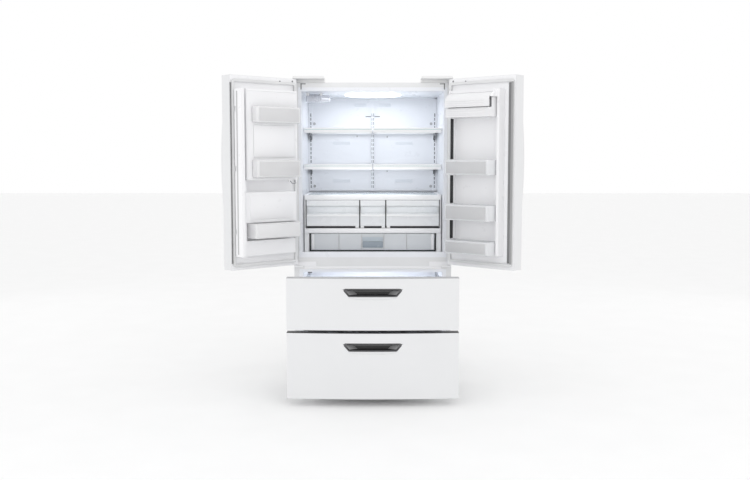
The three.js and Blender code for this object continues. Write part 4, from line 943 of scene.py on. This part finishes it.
def cup(low, high, word):
    """A moulded handle cup in a drawer front's pocket: bezel, dark well, paler ends, bright lower lip. Its
    dark plastic comes in several tones: the near-black well and back carry painted shade of the deep pocket,
    and the paler slanted ends carry painted light.
    """
    body = f"{word}_drawer"
    top = high.z - 0.055
    bottom = top - 0.037
    half_top, half_bottom = 0.157, 0.125
    half_width = high.x
    depth = 0.034

    def bow(x):
        return low.y + 0.023 * (x / half_width) ** 2

    corners = [(-half_top, top), (-half_bottom, bottom), (half_bottom, bottom), (half_top, top)]

    def line(inward, radius, out=None, y=None):
        ring = divided(rounded(inset(corners, inward), radius, 6))
        return [Vector((p.x, bow(p.x) + out if y is None else y, p.y)) for p in ring]

    def bezel(form):
        rings = [line(-0.0035, 0.010, out=0.0008), line(-0.0032, 0.010, out=-0.0009),
                 line(-0.0015, 0.010, out=-0.0017), line(0.0012, 0.010, out=-0.0013),
                 line(0.0024, 0.010, out=0.0006), line(0.0030, 0.010, y=low.y + 0.010),
                 line(0.0020, 0.010, y=low.y + 0.0102), line(0.0006, 0.010, out=0.004)]
        loft(form, rings, closed=True)

    def well(form):
        rings = [line(0.0008, 0.009, out=0.006), line(0.0008, 0.009, y=low.y + depth - 0.0006),
                 line(0.0060, 0.009, y=low.y + depth - 0.0006), line(0.0045, 0.009, y=low.y + depth - 0.006),
                 line(0.0028, 0.009, y=low.y + 0.0105)]
        loft(form, rings, closed=True)

    piece(f"{word}_cup_bezel", bezel, CUP_END, body)
    # The well and the back take the near-black colour: dark plastic with painted shade of the deep pocket.
    piece(f"{word}_cup_well", well, CUP_WELL_SHADE, body)
    piece(f"{word}_cup_back", lambda form: loft(form, [
        line(0.0064, 0.009, y=low.y + depth - 0.0035), line(0.0064, 0.009, y=low.y + depth - 0.0012)]),
        CUP_WELL_SHADE, body)

    def ramps(form):
        # slanted ends that rise from the back of the cup to its rim
        for sign in (-1, 1):
            rings = []
            for z, outer in ((top - 0.0075, half_top - 0.0125), (bottom + 0.0060, half_bottom - 0.0020)):
                near, far = bow(half_top) + 0.004, low.y + depth - 0.004
                rings.append([Vector((sign * x, y, z)) for x, y in (
                    (outer, near), (outer, far), (outer - 0.042, far), (outer - 0.038, far - 0.004))])
            loft(form, rings)

    # The slanted ends take a paler grey: painted light.
    piece(f"{word}_cup_ramps", ramps, CUP_RAMP_LIGHT, body, edge=0.0006)
    piece(f"{word}_cup_ceiling", blocks(
        ((-half_bottom, low.y + depth - 0.008, top - 0.0160),
         (half_bottom, low.y + depth - 0.0034, top - 0.0070)), edge=0.0020), CUP_CEILING, body)

    def lip(form):
        rings = []
        steps = 28
        for k in range(steps + 1):
            t = -1 + 2 * k / steps
            x = t * (half_bottom + 0.002)
            fade = 1 - abs(t) ** 5
            front = bow(x)
            rings.append([Vector((x, front + y, bottom - 0.0036 + z)) for y, z in (
                (0.0006, 0.0), (-0.0016 - 0.0030 * fade, 0.0), (-0.0022 - 0.0036 * fade, -0.0030),
                (-0.0014 - 0.0024 * fade, -0.0095 * fade - 0.001), (0.0006, -0.0135 * fade - 0.001))])
        loft(form, rings)

    piece(f"{word}_cup_lip", lip, WHITE_STEEL, body)


for word, place in (("upper", UPPER), ("lower", LOWER)):
    low, high = shut_box(f"{word}_drawer_front", place)
    cup(low, high, word)
    low, high = shut_box(f"{word}_drawer_basket", place)
    tub = [(low.x, low.y), (high.x, low.y), (high.x, high.y), (low.x, high.y)]
    piece(f"{word}_basket_tub", tray(tub, low.z, high.z, 0.003, 0.020, lip=0.002, foot=0.008), WHITE_PLASTIC,
          f"{word}_drawer", instead_of=(f"{word}_drawer_basket",))


def cap(word, material):
    """A trim along the top of a drawer front that follows its bowed face."""
    body = f"{word}_drawer"
    low, high = shut_box(f"{word}_drawer_front", place_of[body])
    half = high.x - 0.001
    edge_y = high.y - 0.052
    steps = 24
    outline = []
    for k in range(steps + 1):
        t = 2 * k / steps - 1
        outline.append((half * t, edge_y - (edge_y - low.y) * (1 - t ** 2) + 0.0015))
    outline += [(half, high.y - 0.001), (-half, high.y - 0.001)]
    piece(f"{word}_drawer_cap", lambda form: loft(
        form, [flat(outline, high.z - 0.001), flat(outline, high.z + 0.003)]), material, body, edge=0.0012)


# The lower drawer front gets a near-black top and the upper one a mid-grey top.
cap("lower", DARK_PLASTIC)
cap("upper", MULLION_GREY)

freezer_low, freezer_high = shut_box("freezer_liner")
for word, place in (("upper", UPPER), ("lower", LOWER)):
    low, high = shut_box(f"{word}_drawer_slides", place)
    rail = low.z + 0.040                   # bottom of the moving member
    tracks = []
    for side in (-1, 1):
        outer = side * (high.x + 0.0026)
        inner = side * (high.x + 0.0004)
        tracks.append(((min(outer, inner), front_y + 0.030, rail - 0.006),
                       (max(outer, inner), high.y - 0.010, rail + 0.046)))
    piece(f"{word}_slide_tracks", blocks(*tracks, edge=0.0005), ZINC, "cabinet")

# ------------------------------------------------------------------ outside of the cabinet


def stepped(points, y, gap=0.0006):
    """An outline with a pair of points added wherever it crosses a line of equal Y."""
    result = []
    for i, point in enumerate(points):
        after = points[(i + 1) % len(points)]
        result.append(point)
        if (point.y - y) * (after.y - y) < 0:
            for offset in ((-gap, gap) if after.y > point.y else (gap, -gap)):
                result.append(point.lerp(after, (y + offset - point.y) / (after.y - point.y)))
    return result


def hinge_cap(low, high):
    """A drawing function for a hinge cover, cut higher where it stands over the door."""
    plan = [(low.x, low.y), (high.x, low.y), (high.x, high.y), (low.x, high.y)]
    over_door = inner_high.z + 0.004

    def ring(inward, z=None, lift=0.0):
        ring_points = []
        for p in stepped(rounded(inset(plan, inward), max(0.010 - inward, 0.002), 5), front_y):
            foot = (over_door if p.y < front_y else low.z + 0.0003) + lift
            ring_points.append(Vector((p.x, p.y, foot if z is None else z)))
        return ring_points

    def draw(form):
        top = high.z
        loft(form, [ring(0.0060, top - 0.0026), ring(0.0027, top - 0.0055), ring(0.0023), ring(0.0005),
                    ring(0.0, lift=0.0008), ring(0.0, top - 0.0075), ring(0.0012, top - 0.0040),
                    ring(0.0038, top - 0.0012), ring(0.0085, top)])
    return draw


def screw_head(radius, rise):
    """The profile of a small screw with a recess in its head."""
    return [(radius, -0.001), (radius, 0.0006), (radius - 0.0014, rise), (0.0012, rise),
            (0.0010, rise - 0.001)]


for side in ("left", "right"):
    low, high = shut_box(f"hinge_cover_{side}")
    piece(f"{side}_hinge_cap", hinge_cap(low, high), COVER_PLASTIC, "cabinet",
          instead_of=(f"hinge_cover_{side}",), edge=0.0003)
    piece(f"{side}_hinge_cap_wall", blocks(
        ((low.x + 0.001, front_y + 0.0008, low.z + 0.0004),
         (high.x - 0.001, front_y + 0.003, high.z - 0.004))), COVER_PLASTIC, "cabinet")
    screw = ((low.x + high.x) / 2 + (-0.055 if side == "right" else 0.055), high.y - 0.022, high.z)
    piece(f"{side}_hinge_cap_screw", lambda form: lathe(form, screw_head(0.0050, 0.0018), screw, sides=24),
          ZINC, "cabinet")

# Dark L-shaped marks at the top corners of the opening, and a catch in the freezer's upper corner.
corner_stops = []
stop_x, stop_z = case_high.x - 0.042, case_high.z - 0.004
for sign in (-1, 1):
    for length, height in ((0.030, 0.006), (0.007, 0.035)):
        x0, x1 = sorted((sign * (stop_x - length), sign * stop_x))
        corner_stops.append(((x0, front_y - 0.0002, stop_z - height), (x1, front_y + 0.001, stop_z)))
piece("corner_stops", blocks(*corner_stops), CHANNEL_GREY, "cabinet")
piece("freezer_top_lip", blocks(
    ((freezer_low.x + 0.030, front_y - 0.0003, freezer_high.z + 0.0013),
     (freezer_high.x - 0.030, front_y + 0.002, freezer_high.z + 0.0173)),
    edge=0.0002), DOOR_LINER, "cabinet")
piece("freezer_catch", blocks(
    ((freezer_low.x + 0.0497, front_y + 0.002, freezer_high.z - 0.0237),
     (freezer_low.x + 0.0737, front_y + 0.012, freezer_high.z - 0.0157)), edge=0.001),
    BRACKET_GREY, "cabinet")

# Beads pressed into the rear sheet, foam plugs, and the screws round the machine room cover.
back_y = case_high.y
bead_heights = (0.62, 1.02, 1.42)
cover_low, cover_high = shut_box("rear_cover")
piece("rear_beads", blocks(*[
    ((case_low.x + 0.060, back_y - 0.0006, z), (case_high.x - 0.060, back_y + 0.0008, z + 0.014))
    for z in bead_heights], edge=0.0006), CASE_PAINT, "cabinet")


def rear_plugs(form):
    for x, z in ((-0.22, 1.60), (0.22, 1.60), (0.0, 0.46)):
        lathe(form, [(0.016, -0.001), (0.016, 0.0006), (0.0135, 0.0018), (0.004, 0.0021)],
              (x, back_y, z), axis="y")


def cover_screws(form):
    for x in (cover_low.x + 0.012, -0.14, 0.14, cover_high.x - 0.012):
        for z in (cover_low.z + 0.012, cover_high.z - 0.012):
            lathe(form, screw_head(0.0048, 0.0019), (x, cover_high.y, z), axis="y", sides=24)


piece("rear_plugs", rear_plugs, COVER_PLASTIC, "cabinet")
piece("rear_cover_screws", cover_screws, ZINC, "cabinet")

# Copper pipes between the compressor and the condenser.
compressor_low, compressor_high = shut_box("compressor")
condenser_low, condenser_high = shut_box("condenser")


def pipes(form):
    pipe_z = compressor_high.z + 0.026
    near_y, far_y = condenser_low.y + 0.020, condenser_low.y + 0.045
    for y, lift in ((near_y, 0.0), (far_y, 0.014)):
        rod(form, [(compressor_low.x + 0.025, y + 0.012, compressor_high.z - 0.045),
                   (compressor_low.x + 0.006, y + 0.006, pipe_z + lift - 0.010),
                   (compressor_low.x - 0.012, y, pipe_z + lift),
                   (condenser_high.x + 0.012, y, pipe_z + lift),
                   (condenser_high.x - 0.006, y, pipe_z + lift - 0.008),
                   (condenser_high.x - 0.010, y, condenser_high.z - 0.004)], 0.0032)


piece("compressor_pipes", pipes, COPPER, "cabinet")

# ------------------------------------------------------------------ floor, light and camera

floor_mesh = bpy.data.meshes.new("studio_floor")
floor_form = bmesh.new()
bmesh.ops.create_grid(floor_form, x_segments=2, y_segments=2, size=30)
floor_form.to_mesh(floor_mesh)
floor_form.free()
floor = bpy.data.objects.new("studio_floor", floor_mesh)
bpy.context.scene.collection.objects.link(floor)
floor_mesh.materials.append(
    surface("studio_white", (0.93, 0.93, 0.93), 0.75, bump=0.05, grain=30, shade=0.01))


def area_light(name, position, target, size, watts, colour=(1, 1, 1)):
    light = bpy.data.lights.new(name, "AREA")
    light.shape = "RECTANGLE"
    light.size, light.size_y = size
    light.energy = watts
    light.color = colour
    item = bpy.data.objects.new(name, light)
    item.location = position
    item.rotation_euler = (Vector(target) - Vector(position)).to_track_quat("-Z", "Y").to_euler()
    bpy.context.scene.collection.objects.link(item)
    return item


middle = Vector((0, front_y, 1.0))
area_light("key_light", (2.6, -4.6, 2.9), middle, (2.6, 2.6), 16, (1.0, 0.99, 0.98))
area_light("fill_light", (-3.2, -4.2, 1.2), middle, (2.6, 2.2), 15, (0.98, 0.99, 1.0))
area_light("top_light", (0, -1.2, 4.2), middle, (3.5, 3.0), 5)
area_light("back_light_left", (-3.5, 2.8, 2.2), middle, (2.0, 2.5), 4)
area_light("back_light_right", (3.5, 2.8, 2.2), middle, (2.0, 2.5), 4)
lamp_middle = (lamp_low + lamp_high) / 2
area_light(
    "fridge_lamp", (lamp_middle.x, lamp_middle.y, lamp_low.z - 0.02), (lamp_middle.x, lamp_middle.y, 0),
    (0.60, 0.34), 1.38, (0.955, 0.965, 1.0))
# Weak lights that even out the room: one under the lower shelf, one towards the ceiling.
shelf_glow_z, ceiling_glow_z = 1.17, 1.58
area_light("shelf_glow", (0, front_y + 0.10, shelf_glow_z), (0, duct_low.y, shelf_glow_z),
           (0.55, 0.10), 0.40, (0.96, 0.965, 1.0))
area_light("ceiling_glow", (0, front_y + 0.25, ceiling_glow_z), (0, front_y + 0.25, 2.0),
           (0.65, 0.30), 0.26, (0.97, 0.975, 1.0))
area_light(
    "freezer_lamp", (0, freezer_low.y + 0.20, freezer_high.z - 0.030), (0, freezer_low.y + 0.20, 0),
    (0.55, 0.20), 2.0, (0.97, 0.99, 1.0))

world = bpy.data.worlds.new("studio_world")
world.use_nodes = True
world.node_tree.nodes["Background"].inputs["Color"].default_value = (1, 1, 1, 1)
world.node_tree.nodes["Background"].inputs["Strength"].default_value = 1.0
bpy.context.scene.world = world
bpy.context.scene.view_settings.view_transform = "Standard"
bpy.context.scene.view_settings.look = "None"

camera_data = bpy.data.cameras.new("camera")
camera_data.sensor_width = 36
camera_data.lens = 44.76
camera_data.shift_x = 0.003
camera = bpy.data.objects.new("camera", camera_data)
camera.location = (0, front_y - 5.368, 1.305)
camera.rotation_euler = (math.radians(90 - 4.98), 0, 0)
bpy.context.scene.collection.objects.link(camera)
bpy.context.scene.camera = camera
